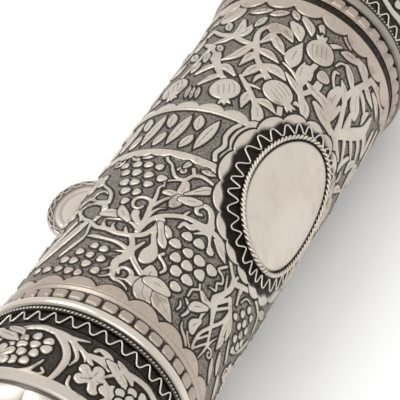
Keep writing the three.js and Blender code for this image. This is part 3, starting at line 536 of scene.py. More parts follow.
for spot, length, width, lean in (
        ((-29, 4.36), 4.8, 2.2, 62), ((-40, 4.36), 5.6, 2.1, 74), ((-55, 4.12), 4.6, 2.0, -30),
        ((-50, 3.72), 3.6, 1.6, -40), ((-36, 4.18), 4.4, 2.0, 20), ((-55, 3.58), 4.4, 1.9, -10),
        ((-58, 3.42), 4.4, 2.0, 10), ((-50.5, 2.97), 4.8, 1.3, -8), ((-47, 2.95), 4.8, 1.2, -10),
        ((-43.8, 2.95), 4.6, 1.2, -12), ((20, 4.5), 3.6, 1.6, 60), ((-20, 4.4), 3.8, 1.8, -40),
        ((-70, 3.9), 5.2, 2.4, 10), ((-74, 3.5), 5.2, 2.4, 30), ((-78, 4.2), 5.0, 2.4, -20),
        ((-66, 3.65), 4.6, 2.2, -40), ((-80, 3.1), 5.0, 2.2, 0), ((-72, 2.95), 4.4, 1.8, 40),
        ((-68, 4.32), 4.6, 2.0, 60), ((70, 4.6), 4.4, 1.8, 80)):
    chased.stamp(spot, 0.8 * length + 1, almond(length, width, lean))
for spot, radius, lean in (
        ((-30, 3.05), 3.4, 158), ((-3.9, 3.28), 3.4, 118), ((3.2, 4.08), 3.4, -20),
        ((-63.7, 3.1), 3.4, 160), ((-58.7, 4.36), 3.3, 20), ((76, 3.7), 2.8, 30), ((68, 2.98), 3.0, 150)):
    chased.stamp(spot, 2.2 * radius, pomegranate(radius, lean))
chased.stamp((12, 3.83), 4.0, grape(1.7))

# The hidden half goes on in the same manner, plainer and evenly spaced.
for i, turn in enumerate(np.arange(98.0, 236.0, 23.0)):
    low, high = (0.62, 1.5) if i % 2 else (1.5, 0.62)
    chased.stem([(turn - 11, 1.06), (turn - 4, 1.14), (turn + 4, 0.98), (turn + 12, 1.06)], 1.3, 1.1)
    chased.stem([(turn, 1.06), (turn + 1, (1.06 + low) / 2), (turn, low)], 1.0, 0.7)
    chased.stem([(turn, 1.06), (turn - 1, (1.06 + high) / 2), (turn, high)], 1.0, 0.7)
    chased.bunch((turn, low), (3, 4, 3, 2), 1.15, 2.9, 20 + i)
    chased.stamp((turn, high), 8.0, vine_leaf(5.0, 5, 0 if high > 1 else 180))
    chased.curl((turn + 9.5, high), 1.4, 90 * i, 1)
    chased.curl((turn - 10, low), 1.3, 90 * i, -1)
    chased.spray((turn + 11, 2.1), 15.0, 12, 3)
    chased.spray((turn, 2.35), 14.0, -14, 3)
    chased.spray((turn + 2, 3.55), 19.0, 16, 4)
    chased.spray((turn + 12, 3.1), 15.0, -10, 3)
    chased.spray((turn + 11, 4.0), 12.0, -8, 2)
    chased.stamp((turn, 2.92 if i % 2 else 4.2), 7.0, pomegranate(3.2, 0 if i % 2 else 180))
    chased.stamp((turn + 11, 4.26 if i % 2 else 2.7), 7.0, pomegranate(3.0, 180 if i % 2 else 0))

# Loose leaves lie in the patches that are still bare between the front and the hidden half.
BARE_PITCH = 11.0
bare_turns = np.concatenate([np.arange(50.0, 100.0, BARE_PITCH), np.arange(246.0, 290.0, BARE_PITCH)])
for row, place in enumerate(np.arange(0.42, 4.3, 0.235)):
    near_rows = np.abs(along_grid[:, 0] - place) < 0.13
    for turn in bare_turns + BARE_PITCH / 2 * (row % 2):
        near_columns = np.abs((across_grid[0] - turn + 180) % 360 - 180) < BARE_PITCH / 2
        lean = 38 if (row + round(turn / BARE_PITCH)) % 2 else -30
        if chased.edge[np.ix_(near_rows, near_columns)].max() < -0.25:
            chased.stamp((turn, place), 4.5, almond(5.6, 2.5, lean))

# The borders: scallops along both ends of the field, the inscription band with its cloud edge,
# and the cartouche's cloud frame. Each is drawn over the field with its own dark moat.
LOWER_SCALLOPS = 20
LOWER_CUSP_TURN = -7.1
LOWER_SCALLOP_TOP = 0.156
LOWER_SCALLOP_RISE = 1.94
UPPER_SCALLOPS = 21
UPPER_CUSP_TURN = 10.2
UPPER_SCALLOP_TOP = 4.44
UPPER_SCALLOP_RISE = 2.1


def overlay(inside):
    """Lays a drawn-out border over the whole field, with a moat."""
    chased.edge = np.maximum(inside, np.minimum(chased.edge, -inside - MOAT))
    chased.vein = np.where(inside > 0, 1.0, chased.vein)


def scallops(count, cusp, top, rise, direction):
    """A row of round lobes: one circle arc per lobe, with its cusps at the given turn, its top at
    the given place in radii and its rise over the cusps in millimetres."""
    pitch = 360 / count
    x = np.radians((across_grid - cusp) % pitch - pitch / 2) * RADIUS
    half = math.radians(pitch) * RADIUS / 2
    round_radius = (half * half + rise * rise) / (2 * rise)
    middle = top * RADIUS - direction * round_radius
    lobes = round_radius - np.hypot(x, along_grid * RADIUS - middle)
    solid = direction * (middle - along_grid * RADIUS)
    return np.maximum(lobes, solid)


overlay(scallops(LOWER_SCALLOPS, LOWER_CUSP_TURN, LOWER_SCALLOP_TOP, LOWER_SCALLOP_RISE, 1))
overlay(scallops(UPPER_SCALLOPS, UPPER_CUSP_TURN, UPPER_SCALLOP_TOP, UPPER_SCALLOP_RISE, -1))

BAND_LEFT, BAND_RIGHT = -86.0, 0.5
height_mm = along_grid * RADIUS
strip_low = (1.95 - 0.03 * np.abs(np.sin(np.radians(across_grid * 16)))) * RADIUS
cloud_turn = (across_grid + 8) % 14.3 - 7.15
cloud_rise = np.sqrt(np.clip(3.0 ** 2 - (np.radians(cloud_turn) * RADIUS) ** 2, 0, None)) * 0.75
cloud_top = 2.7 * RADIUS + cloud_rise
sides = np.minimum(across_grid - BAND_LEFT, BAND_RIGHT - across_grid) * math.radians(1) * RADIUS
band = np.minimum(np.minimum(height_mm - strip_low, cloud_top - height_mm), sides)
chased.edge = np.minimum(chased.edge, -band - MOAT)
low_strip = np.minimum(np.minimum(height_mm - strip_low, 2.04 * RADIUS - height_mm), sides)
top_strip = np.minimum(np.minimum(cloud_top - height_mm, height_mm - 2.66 * RADIUS), sides)
band_strips = np.maximum(low_strip, top_strip)
chased.edge = np.where(band > 0, np.maximum(band_strips, -1.2), chased.edge)
chased.vein = np.where(band > 0, np.abs(height_mm - 2.69 * RADIUS) + 0.02, chased.vein)

# Rows of plain strokes stand in the band: tall spindles with pairs of short ones between.
for i, turn in enumerate(np.arange(-79.0, -17.0, 8.0)):
    if i % 2:
        chased.stamp((turn, 2.35), 7.0, almond(11.0, 2.6, 7, False))
    else:
        chased.stamp((turn, 2.49), 4.0, almond(5.4, 2.4, -14, False))
        chased.stamp((turn, 2.2), 4.0, almond(5.0, 2.2, 14, False))
for turn in (-13.5, -9.5, -5.5):
    crooks = ((2.2, 2.08), (0.3, 2.17), (2.0, 2.3), (-0.2, 2.42), (0.4, 2.55), (2.6, 2.64))
    chased.stem([(turn + crook, place) for crook, place in crooks], 1.1, 1.1)

# The cartouche's frame: a cloud edge around the plate, and a blackened ground inside it, whose
# own smaller lobes leave a bright crescent in each lobe of the cloud. The soft fade from each
# crescent down into the ground is painted shade of the hollow lobes; the ground itself is blackened.
CARTOUCHE_TURN = 35.9
PLATE_HALF_WIDTH = 10.7
CLOUD_LOBES = 18
FRAME_WIDTH = 5.6
plate_low, plate_high = (np.array(corner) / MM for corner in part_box("cartouche_plate"))
cartouche_place = (plate_low[0] + plate_high[0]) / 2 - RIDGE_X
plate_half_length = (plate_high[0] - plate_low[0]) / 2


def oval_distance(around_degrees, place):
    """Distance in mm outside the cartouche plate's oval, by its first-order formula, and the
    angle around the oval."""
    x = np.radians((around_degrees - CARTOUCHE_TURN + 180) % 360 - 180) * RADIUS
    y = place - cartouche_place
    size = np.hypot(x / PLATE_HALF_WIDTH, y / plate_half_length) + 1e-6
    slope = np.hypot(x / PLATE_HALF_WIDTH ** 2, y / plate_half_length ** 2) + 1e-9
    return (size - 1) * size / slope, np.arctan2(y / plate_half_length, x / PLATE_HALF_WIDTH)


oval, oval_angle = oval_distance(across_grid, height_mm)
upper_end = np.maximum(0, np.sin(oval_angle))
lobe_share = np.abs(np.sin(oval_angle * CLOUD_LOBES / 2))
cloud_edge = 1.4 * lobe_share ** 0.6
frame_edge = FRAME_WIDTH * (1 - 0.22 * upper_end) + cloud_edge
ground_edge = frame_edge - 0.5 - 1.7 * lobe_share ** 1.5
chased.edge = np.minimum(chased.edge, oval - frame_edge - 0.4)
frame_band = np.minimum(oval - ground_edge + 0.5, frame_edge - oval)
chased.edge = np.maximum(chased.edge, frame_band)
chased.vein = np.where(oval < frame_edge + 0.3, 1.0, chased.vein)
# Blackened ground, with a soft fade at its edge that is painted shade on the frame's hollow lobes.
soot_and_shade = 1 - smooth_step(-0.5, 0.45, oval - ground_edge)

# Plain strips along the slot, each with a scored line, and a dark stripe under the upper beads that is
# painted shadow in the gap there.
from_slot = np.abs((turns - SLOT_TURN + 180) % 360 - 180) * math.radians(1) * RADIUS
strip = np.minimum(from_slot - 2.6, 5.6 - from_slot)[None, :] + 0 * height_mm
strip = np.minimum(strip, np.minimum(height_mm - 3.0, FIELD - 5.0 - height_mm))
overlay(np.maximum(strip, -1.4))
scored = np.abs(from_slot - 4.6)[None, :] + 0 * height_mm
chased.vein = np.where(strip > 0, scored, chased.vein)
# Soot on the ground under the lower zigzag wire is real blackening; the dark stripe under the upper beads
# is painted shadow.
tail_soot_and_groove_shade = smooth_step(-6.6, -7.0, height_mm) + smooth_step(FIELD - 2.0, FIELD - 1.3, height_mm)
soot_and_shade = np.clip(soot_and_shade + tail_soot_and_groove_shade, 0, 1)
chased.edge = np.where(height_mm < 0, 1.0, chased.edge)
chased.edge = np.where(height_mm > 4.6 * RADIUS, 1.0, chased.edge)

# Tarnish: brown along both borders, and in the spots that the case has taken on.
tint = 0.75 * smooth_step(0.34, 0.12, along_grid) + 0.6 * smooth_step(4.2, 4.5, along_grid)
for turn, place, size, share in (
        (-26, 4.1, 2.3, 1.0), (5, 4.1, 3.2, 0.7), (18, 4.35, 3.0, 0.8), (12, 3.83, 1.8, 0.7),
        (-50, 3.6, 2.2, 0.5), (-19, 4.11, 1.4, 0.8), (-14, 1.86, 2.0, 0.35), (36, 4.36, 3.5, 0.5),
        (22, 3.4, 3.0, 0.3), (38, 3.3, 3.0, 0.5)):
    away = np.hypot(np.radians(across_grid - turn) * RADIUS, height_mm - place * RADIUS)
    tint = np.maximum(tint, share * np.exp(-(away / size) ** 2))


def chased_height(edge, vein, soot_and_shade):
    """The relief: raised metal with soft shoulders, a cut line at its foot, fine cut veins and
    a little crown on broad forms. It never exceeds the relief height."""
    raised = smooth_step(-0.06, 0.2, edge)
    crown = smooth_step(0.1, 1.6, edge)
    foot = np.exp(-((edge + 0.16) / 0.11) ** 2)
    cut = (1 - smooth_step(0.05, 0.16, vein)) * raised
    height = RELIEF * (0.74 * raised + 0.2 * crown) - 0.1 * foot - 0.12 * cut
    return height * (1 - soot_and_shade) - 0.12 * soot_and_shade


relief = chased_height(chased.edge, chased.vein, soot_and_shade)
ridge = np.exp(-((height_mm - 0.15) / 0.35) ** 2)
relief = np.where(height_mm < 0.6, np.maximum(0.25 * RELIEF, RELIEF * ridge), relief)
relief = np.where((height_mm < -0.5) | (height_mm > FIELD - 0.6), 0.0, relief)
outer = on_case(turns[None, :], places[:, None], RADIUS + relief)
inner = on_case(turns[None, :], places[:, None], RADIUS - WALL + 0 * relief)


def grid_normals(points):
    """Unit normals of a grid that closes on itself sideways, from its central differences."""
    sideways = np.roll(points, -1, axis=1) - np.roll(points, 1, axis=1)
    upwards = np.gradient(points, axis=0)
    normals = np.cross(sideways, upwards)
    return normals / (np.linalg.norm(normals, axis=-1, keepdims=True) + 1e-12)


outer_normals = grid_normals(outer)
slot_columns = np.flatnonzero((turns >= slot_edges[1] - 1e-6) | (turns < slot_edges[0] - 1e-6))
first_slot = slot_columns[0]


def tube_piece(name, low_row, high_row):
    """A closed stretch of the tube between two rows: the chased outside, a smooth bore, end
    walls, and the walls of the slot where it passes."""
    columns = np.arange(len(turns))
    following = (columns + 1) % len(turns)
    in_slot = columns >= first_slot
    rows = np.arange(low_row, high_row + 1)
    slot_low = int(np.searchsorted(places, slot_rows[0] - 1e-6))
    slot_high = int(np.searchsorted(places, slot_rows[1] - 1e-6))
    bore_rows = sorted({low_row, high_row} | {r for r in (slot_low, slot_high) if low_row < r < high_row})
    points = np.concatenate([outer[rows].reshape(-1, 3), inner[bore_rows].reshape(-1, 3)])
    bore_start = len(rows) * len(turns)

    def outside(row, column):
        return (row - low_row) * len(turns) + column

    def bore(row, column):
        return bore_start + bore_rows.index(row) * len(turns) + column

    row_grid, column_grid = np.meshgrid(rows[:-1], columns, indexing="ij")
    next_grid = following[column_grid]
    keep = ~(in_slot[column_grid] & (row_grid >= slot_low) & (row_grid < slot_high))
    r, c, n = row_grid[keep], column_grid[keep], next_grid[keep]
    skin = np.stack([outside(r, c), outside(r, n), outside(r + 1, n), outside(r + 1, c)], axis=1)
    walls = []
    for start, end in zip(bore_rows, bore_rows[1:]):
        open_here = slot_low <= start and end <= slot_high
        c = columns[~in_slot] if open_here else columns
        n = following[c]
        walls.append(np.stack([bore(start, c), bore(end, c), bore(end, n), bore(start, n)], axis=1))
    for row, flip in ((low_row, False), (high_row, True)):
        open_here = slot_low < row < slot_high
        c = columns[~in_slot] if open_here else columns
        n = following[c]
        rim = np.stack([outside(row, c), bore(row, c), bore(row, n), outside(row, n)], axis=1)
        walls.append(rim[:, ::-1] if flip else rim)
    for row, flip in ((slot_low, True), (slot_high, False)):
        if low_row < row < high_row:
            c = columns[in_slot]
            n = following[c]
            rim = np.stack([outside(row, c), bore(row, c), bore(row, n), outside(row, n)], axis=1)
            walls.append(rim[:, ::-1] if flip else rim)
    start, end = max(low_row, slot_low), min(high_row, slot_high)
    if start < end:
        for column, flip in ((first_slot, False), (0, True)):
            side = [outside(row, column) for row in range(start, end + 1)]
            side += [bore(row, column) for row in reversed(bore_rows) if start <= row <= end]
            walls.append(np.array([side[::-1] if flip else side]))
    piece = put_mesh(name, points, [skin] + walls)
    smooth = np.zeros(len(piece.data.polygons), dtype=bool)
    smooth[:len(skin)] = True
    piece.data.polygons.foreach_set("use_smooth", smooth)
    normals = np.zeros((len(piece.data.loops), 3))
    normals[:4 * len(skin)] = outer_normals[rows].reshape(-1, 3)[skin.ravel()]
    piece.data.normals_split_custom_set(normals)
    spare = np.zeros(len(bore_rows) * len(turns))
    for key, values, rest in (
            ("edge", chased.edge, spare + 1), ("vein", chased.vein, spare + 1), ("soot_and_shade", soot_and_shade, spare),
            ("tint", tint, spare)):
        set_values(piece, key, np.concatenate([np.clip(values[rows], -1, 1).ravel(), rest]))
    return piece


tube_names = ("case_tube_lower_end", "case_tube_vine", "case_tube_inscription", "case_tube_pomegranates")
inner_seams = [int(np.searchsorted(places, share * FIELD)) for share in (0.24, 0.5, 0.76)]
tube_seams = [0, *inner_seams, len(places) - 1]
tube_spans = zip(tube_names, tube_seams, tube_seams[1:])
tube_pieces = [tube_piece(name, low_row, high_row) for name, low_row, high_row in tube_spans]


class Strand:
    """One value inside a material, with Python's operators for its arithmetic."""

    def __init__(self, finish, socket):
        self.finish, self.socket = finish, socket

    def joined(self, operation, *values):
        """One step of arithmetic on this and other values or numbers."""
        return self.finish.node("ShaderNodeMath", {"operation": operation}, dict(enumerate(values)))

    def __add__(self, other):
        return self.joined("ADD", self, other)

    def __sub__(self, other):
        return self.joined("SUBTRACT", self, other)

    def __mul__(self, other):
        return self.joined("MULTIPLY", self, other)

    def __rsub__(self, other):
        return self.joined("SUBTRACT", other, self)

    __radd__ = __add__
    __rmul__ = __mul__


class Finish:
    """A metal finish: a Principled shader and the nodes that vary it over the surface."""

    def __init__(self, name, **constants):
        self.material = bpy.data.materials.new(name)
        self.material.use_nodes = True
        self.tree = self.material.node_tree
        self.shader = self.tree.nodes["Principled BSDF"]
        for socket, value in constants.items():
            self.shader.inputs[socket.replace("_", " ")].default_value = value

    def node(self, kind, settings=(), values=(), output=0):
        """Adds a node with its settings and the values or links of its sockets."""
        made = self.tree.nodes.new(kind)
        for key, value in dict(settings).items():
            setattr(made, key, value)
        for key, value in dict(values).items():
            if isinstance(value, Strand):
                self.tree.links.new(value.socket, made.inputs[key])
            else:
                made.inputs[key].default_value = value
        return Strand(self, made.outputs[output])

    def lead(self, socket, strand):
        """Links a value to one of the shader's own sockets."""
        self.tree.links.new(strand.socket, self.shader.inputs[socket])

    def place(self):
        """The place on the piece, in metres from the shared origin."""
        return self.node("ShaderNodeTexCoord", output="Object")

    def stored(self, name):
        """A number that the mesh stores for each of its points."""
        return self.node("ShaderNodeAttribute", {"attribute_name": name}, output="Fac")

    def step(self, value, low, high):
        """Zero below low and one above high, with a soft shoulder."""
        return self.node("ShaderNodeMapRange", {"interpolation_type": "SMOOTHSTEP"},
                         {"Value": value, "From Min": low, "From Max": high})

    def noise(self, size, detail, roughness):
        """Cloudy noise whose features are about size millimetres across."""
        return self.node("ShaderNodeTexNoise", values={
            "Vector": self.place(), "Scale": 1 / (size * MM), "Detail": detail,
            "Roughness": roughness}, output="Fac")

    def mix(self, share, first, second):
        """A colour between two: the first where the share is zero."""
        first = first if isinstance(first, Strand) else (*first, 1.0)
        second = second if isinstance(second, Strand) else (*second, 1.0)
        values = {0: share, 6: first, 7: second}
        return self.node("ShaderNodeMix", {"data_type": "RGBA"}, values, output=2)

    def bump(self, height, distance, strength):
        """Tilts the surface's shading by a height, whose full range is a distance in millimetres."""
        self.lead("Normal", self.node("ShaderNodeBump", values={
            "Height": height, "Distance": distance * MM, "Strength": strength}))


BRIGHT = (0.62, 0.562, 0.492)
WARM = (0.49, 0.42, 0.345)
SOOT = (0.024, 0.019, 0.015)
DULL = (0.3, 0.265, 0.228)
BROWN = (0.17, 0.11, 0.07)
TAN = (0.36, 0.278, 0.218)


def toned(colour, brightness):
    """A colour made lighter or darker by one factor."""
    return tuple(brightness * part for part in colour)


def chased_silver(name, brightness=1.0, smudge=0.5):
    """Rubbed silver on the raised work, sulphide black in the cut lines, and a grey ground matted with
    fine punch marks, all under a thin uneven tarnish; soot-black where a stored value says so, which is
    real blackened ground in most places and painted shade in a few."""
    finish = Finish(name, Metallic=1.0)
    edge, vein, soot_and_shade = (finish.stored(key) for key in ("edge", "vein", "soot_and_shade"))
    raised = finish.step(edge, -0.03, 0.14)
    outline = (1 - raised) * finish.step(edge, -0.62, -0.26)
    cut = raised * (1 - finish.step(vein, 0.03, 0.15))
    punch = finish.node("ShaderNodeTexVoronoi", {"feature": "F1"}, {
        "Vector": finish.place(), "Scale": 1 / (0.42 * MM)}, output="Distance")
    matting = finish.step(punch, 0.2, 0.55)
    worn = finish.noise(0.7, 3.0, 0.6)
    tarnish = finish.step(finish.noise(9.0, 3.0, 0.55), 0.5, 0.72)
    brown = finish.step(finish.noise(5.0, 2.0, 0.5), 0.63, 0.72)
    ground = finish.mix(matting * 0.7 + worn * 0.3, SOOT, DULL)
    silver = finish.mix(tarnish * smudge, toned(BRIGHT, brightness), toned(WARM, brightness))
    silver = finish.mix(finish.step(worn, 0.42, 0.75) * 0.22, silver, DULL)
    silver = finish.mix(brown * 0.45, silver, BROWN)
    silver = finish.mix(finish.stored("tint") * (0.5 + worn * 0.6), silver, TAN)
    colour = finish.mix(raised, ground, silver)
    colour = finish.mix(outline * 0.86, colour, SOOT)
    colour = finish.mix(cut * 0.8, colour, SOOT)
    # Soot-black from the stored value: real blackened ground, and painted shade at the cartouche frame's
    # lobes and in the gap under the upper beads.
    colour = finish.mix(soot_and_shade * (0.86 + worn * 0.24), colour, SOOT)
    finish.lead("Base Color", colour)
    finish.lead("Roughness", 0.34 + (1 - raised) * 0.14 + worn * 0.1 + tarnish * 0.08)
    finish.bump(matting * (1 - raised) * 0.7 + worn * 0.3, 0.12, 0.6)
    return finish.material


tube_silver = chased_silver("chased_silver_tube")
for piece in tube_pieces:
    piece.data.materials.append(tube_silver)
    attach(piece, "root")
    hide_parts("case_tube")

# The bead bands. A strip of stamped silver at each end of the chased field, with forty soft
# square beads, soldered on beside the scallops; soot stays between the beads.
BEADS = 40
BEAD_START = 0.7
BEAD_BAND = 3.1
BEAD_HEIGHT = 0.7
FIRST_BEAD = 21.6
SEAT = 0.1
ENDS = (("lower", -1), ("upper", 1))


def end_place(side, distance):
    """Place along the case of a distance outward from the lower or the upper ridge."""
    return -distance if side < 0 else FIELD + distance


def quads(rows, columns, close_rows=True, close_columns=True):
    """The four-cornered faces of a grid of points, which may close on itself either way."""
    row = np.arange(rows if close_rows else rows - 1)[:, None]
    column = np.arange(columns if close_columns else columns - 1)[None, :]
    above, beside = (row + 1) % rows, (column + 1) % columns
    corners = (row * columns + column, row * columns + beside,
               above * columns + beside, above * columns + column)
    return np.stack(np.broadcast_arrays(*corners), axis=-1).reshape(-1, 4)


def closed_piece(name, points, faces, values=(), sharp=180.0):
    """A closed body from points in metres and face arrays, turned outwards by the sign of its
    volume, with creases kept where faces meet at more than the sharp angle."""
    middle = points.mean(axis=0)
    quad = points[faces[0]] - middle
    volume = np.sum(quad.mean(axis=1) * np.cross(quad[:, 2] - quad[:, 0], quad[:, 3] - quad[:, 1]))
    piece = put_mesh(name, points, faces if volume > 0 else [part[:, ::-1] for part in faces])
    if sharp < 180:
        piece.data.set_sharp_from_angle(angle=math.radians(sharp))
    for key, value in dict(values).items():
        set_values(piece, key, value)
    return piece


def band(name, turns, places, radii, values=(), sharp=180.0):
    """A closed ring of metal: its section, given by places and radii in rows, is carried around
    the axis through the turns in columns, and both ways close on themselves."""
    shape = np.broadcast_shapes(places.shape, radii.shape)
    points = on_case(turns[None, :], places, radii).reshape(-1, 3)
    spread = {key: np.broadcast_to(value, shape) for key, value in dict(values).items()}
    return closed_piece(name, points, [quads(*shape)], spread, sharp)


def finished(piece, material, slot, *nodes):
    """Gives a piece its material and the CAD nodes that it stands for; the slot is not used."""
    piece.data.materials.append(material)
    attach(piece, "root")
    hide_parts(*nodes)


def bead_section(side):
    """The band's outside in 15 rows, its beads as rounded squares with soft crowns, and two rows
    of its flat underside."""
    turns = np.arange(BEADS * 16) * 360 / (BEADS * 16)
    share = np.linspace(0, 1, 15)[:, None]
    across = np.radians((turns - FIRST_BEAD + 4.5) % 9 - 4.5)[None, :] * RADIUS
    along = (share - 0.56) * BEAD_BAND
    uneven = 0.05 * np.sin(2.7 * np.floor((turns - FIRST_BEAD + 4.5) / 9))[None, :]
    wide, tall = np.abs(across) - 0.76 + uneven, np.abs(along) - 0.5 - uneven
    inside = 0.74 - np.hypot(np.maximum(wide, 0), np.maximum(tall, 0))
    rise = smooth_step(-0.1, 0.28, inside) * (0.74 + 0.26 * smooth_step(0.1, 0.5, inside))
    radii = RADIUS + SEAT + 0.08 + (BEAD_HEIGHT - 0.08) * rise
    radii = np.concatenate([radii, np.full((2, len(turns)), RADIUS + SEAT)])
    distance = np.concatenate([share[:, 0], [1.0, 0.0]]) * BEAD_BAND + BEAD_START
    edge = np.concatenate([inside, np.full((2, len(turns)), -0.1)])
    if side > 0:
        edge[:11] = np.maximum(edge[:11], 0.2)
    return turns, end_place(side, distance)[:, None], radii, edge


bead_silver = chased_silver("chased_silver_beads", 0.74, 0.8)
for end, side in ENDS:
    turns_b, places_b, radii_b, edge_b = bead_section(side)
    beads = band(f"{end}_bead_band_dressed", turns_b, places_b, radii_b,
                 {"edge": edge_b, "vein": 1.0, "soot_and_shade": 0.0, "tint": 0.55})
    finished(beads, bead_silver, "chased_silver", f"{end}_bead_band")

# The polished rings. Half-round silver, drawn and soldered over the joint between field and
# trim; handling keeps them bright. The case lies on a worn flat on each of them.
RING_START = 4.2
RING_WIDTH = 2.4
RING_HEIGHT = 1.35


def polished_silver(name, brightness=1.0, cloud=14.0, roughness=0.24):
    """Silver kept bright by hands: a warm tarnish in soft clouds, hairline scratches along its
    length, and darker soot where a stored recess is deep."""
    finish = Finish(name, Metallic=1.0)
    recess = finish.stored("recess")
    clouds = finish.step(finish.noise(cloud, 3.0, 0.55), 0.45, 0.75)
    smears = finish.step(finish.noise(cloud / 5, 4.0, 0.6), 0.5, 0.8)
    specks = finish.step(finish.noise(0.9, 2.0, 0.5), 0.66, 0.8)
    drawn_out = finish.node("ShaderNodeMapping", values={
        "Vector": finish.place(), "Scale": (0.15, 2.2, 2.2)})
    scratches = finish.node("ShaderNodeTexNoise", values={
        "Vector": drawn_out, "Scale": 1 / (0.5 * MM), "Detail": 2.0})
    colour = finish.mix(clouds * 0.5, toned(BRIGHT, brightness), toned(WARM, brightness))
    colour = finish.mix(smears * 0.22, colour, DULL)
    colour = finish.mix(specks * 0.3, colour, BROWN)
    colour = finish.mix(recess * 0.85, colour, SOOT)
    finish.lead("Base Color", colour)
    finish.lead("Roughness", roughness + clouds * 0.1 + smears * 0.07 + scratches * 0.05 + recess * 0.2)
    finish.bump(scratches * 0.5 + smears * 0.5, 0.05, 0.35)
    return finish.material


# The upper ring's copy is darker and browner: partly tarnish, partly painted shade for that far ring,
# which lies in shadow.
ring_silvers = (polished_silver("polished_silver_ring", 1.04, 14.0, 0.2),
                polished_silver("tarnished_and_shaded_silver_ring", 0.55, 3.0, 0.3))
for (end, side), ring_silver in zip(ENDS, ring_silvers):
    turns_r = np.arange(360) * 1.0
    angle = np.linspace(0, math.pi, 15)
    distance = RING_START + RING_WIDTH / 2 * (1 - np.cos(angle))
    bow = RADIUS + SEAT + (RING_HEIGHT - SEAT) * np.sin(angle) ** 0.8
    distance = np.append(distance, [RING_START + RING_WIDTH, RING_START])
    bow = np.append(bow, [RADIUS + SEAT, RADIUS + SEAT])[:, None] + 0 * turns_r[None, :]
    down = -np.cos(np.radians(turns_r))[None, :]
    flat = np.where(down > 0.5, AXIS_Z / np.maximum(down, 0.5), 99.0)
    radii_r = np.minimum(bow, flat)
    from_side = np.minimum(distance - RING_START, RING_START + RING_WIDTH - distance)
    recess = smooth_step(0.9, 0.2, from_side)[:, None]
    ring = band(f"{end}_ring_dressed", turns_r, end_place(side, distance)[:, None], radii_r,
                {"recess": 0.5 * recess * (bow < RADIUS + 1.0)}, 60)
    finished(ring, ring_silver, "polished_silver", f"{end}_ring")

# The twisted wires. Two fine silver wires twisted together, one ring beside each polished ring
# and one oval around the cartouche plate; soot fills the turns.
TWIST_START = 7.0
TWIST_RADIUS = 0.42
TWIST_PITCH = 4.0
STRAND_RADIUS = 0.23
STRAND_SIDES = 5


def wire_skin(path, outward, radius, sides):
    """The skin of a round wire: a circle of the given sides carried along a closed path of
    points in millimetres, square to the path, with one outward direction per point."""
    ahead = np.roll(path, -1, axis=0) - np.roll(path, 1, axis=0)
    ahead /= np.linalg.norm(ahead, axis=1, keepdims=True)
    side = np.cross(ahead, outward)
    side /= np.linalg.norm(side, axis=1, keepdims=True)
    lift = np.cross(side, ahead)
    angle = np.arange(sides)[None, :, None] * 2 * math.pi / sides
    points = path[:, None] + radius * (np.cos(angle) * side[:, None] + np.sin(angle) * lift[:, None])
    return points.reshape(-1, 3), quads(len(path), sides)


def twisted(name, path, outward, whole, strand_radius, bright):
    """Two strands that wind around a closed path inside a whole radius: each strand's centre
    circles the path once in a pitch of four whole radii, on opposite sides. Soot covers what lies
    lower than the bright limits, which are sines of the winding angle."""
    steps = np.linalg.norm(np.roll(path, -1, axis=0) - path, axis=1)
    rounds = round(steps.sum() / (TWIST_PITCH * whole))
    share = np.cumsum(steps) / steps.sum()
    ahead = np.roll(path, -1, axis=0) - np.roll(path, 1, axis=0)
    side = np.cross(ahead, outward)
    side /= np.linalg.norm(side, axis=1, keepdims=True)
    skins, recess = [], []
    for start in (0.0, math.pi):
        angle = (2 * math.pi * rounds * share + start)[:, None]
        offset = np.cos(angle) * side + np.sin(angle) * outward
        strand = path + (whole - strand_radius) * offset
        skins.append(wire_skin(strand, outward, strand_radius, STRAND_SIDES))
        recess.append(np.repeat(1 - smooth_step(*bright, np.sin(angle[:, 0])), STRAND_SIDES))
    points = np.concatenate([skin[0] for skin in skins])
    faces = np.concatenate([skins[0][1], skins[1][1] + len(skins[0][0])])
    return closed_piece(name, points * MM, [faces], {"recess": np.concatenate(recess)})


twist_silver = polished_silver("silver_twisted_wire", 0.95, 6.0, 0.32)
for end, side in ENDS:
    turns_t = np.arange(1080) / 3
    middle = end_place(side, TWIST_START + TWIST_RADIUS)
    path = on_case(turns_t, middle, RADIUS + SEAT + TWIST_RADIUS) / MM
    outward = on_case(turns_t, 0.0, 1.0) / MM - on_case(turns_t, 0.0, 0.0) / MM
    twist = twisted(f"{end}_twisted_wire_dressed", path, outward, TWIST_RADIUS, STRAND_RADIUS,
                    (0.7, 1.05))
    finished(twist, twist_silver, "blackened_silver", f"{end}_twisted_wire")

# The zigzag wires. Flat silver wire bent back and forth over the blackened ground beyond each
# twisted wire, soldered down by its bends, which are rubbed bright.
ZIGZAG_START = 8.05
ZIGZAG_WIDTH = 2.75
ZIGZAG_WIRE = 0.21
ZIGZAGS = 40


def zigzag(share, count):
    """A bent wire's sway from 0 to 1: narrow bends on one side and slightly wider ones on the
    other, between legs that ease into them."""
    wave = 2 * np.abs((share * count) % 1 - 0.5)
    return smooth_step(0.08, 0.84, wave) * 0.55 + np.clip((wave - 0.08) / 0.76, 0, 1) * 0.45


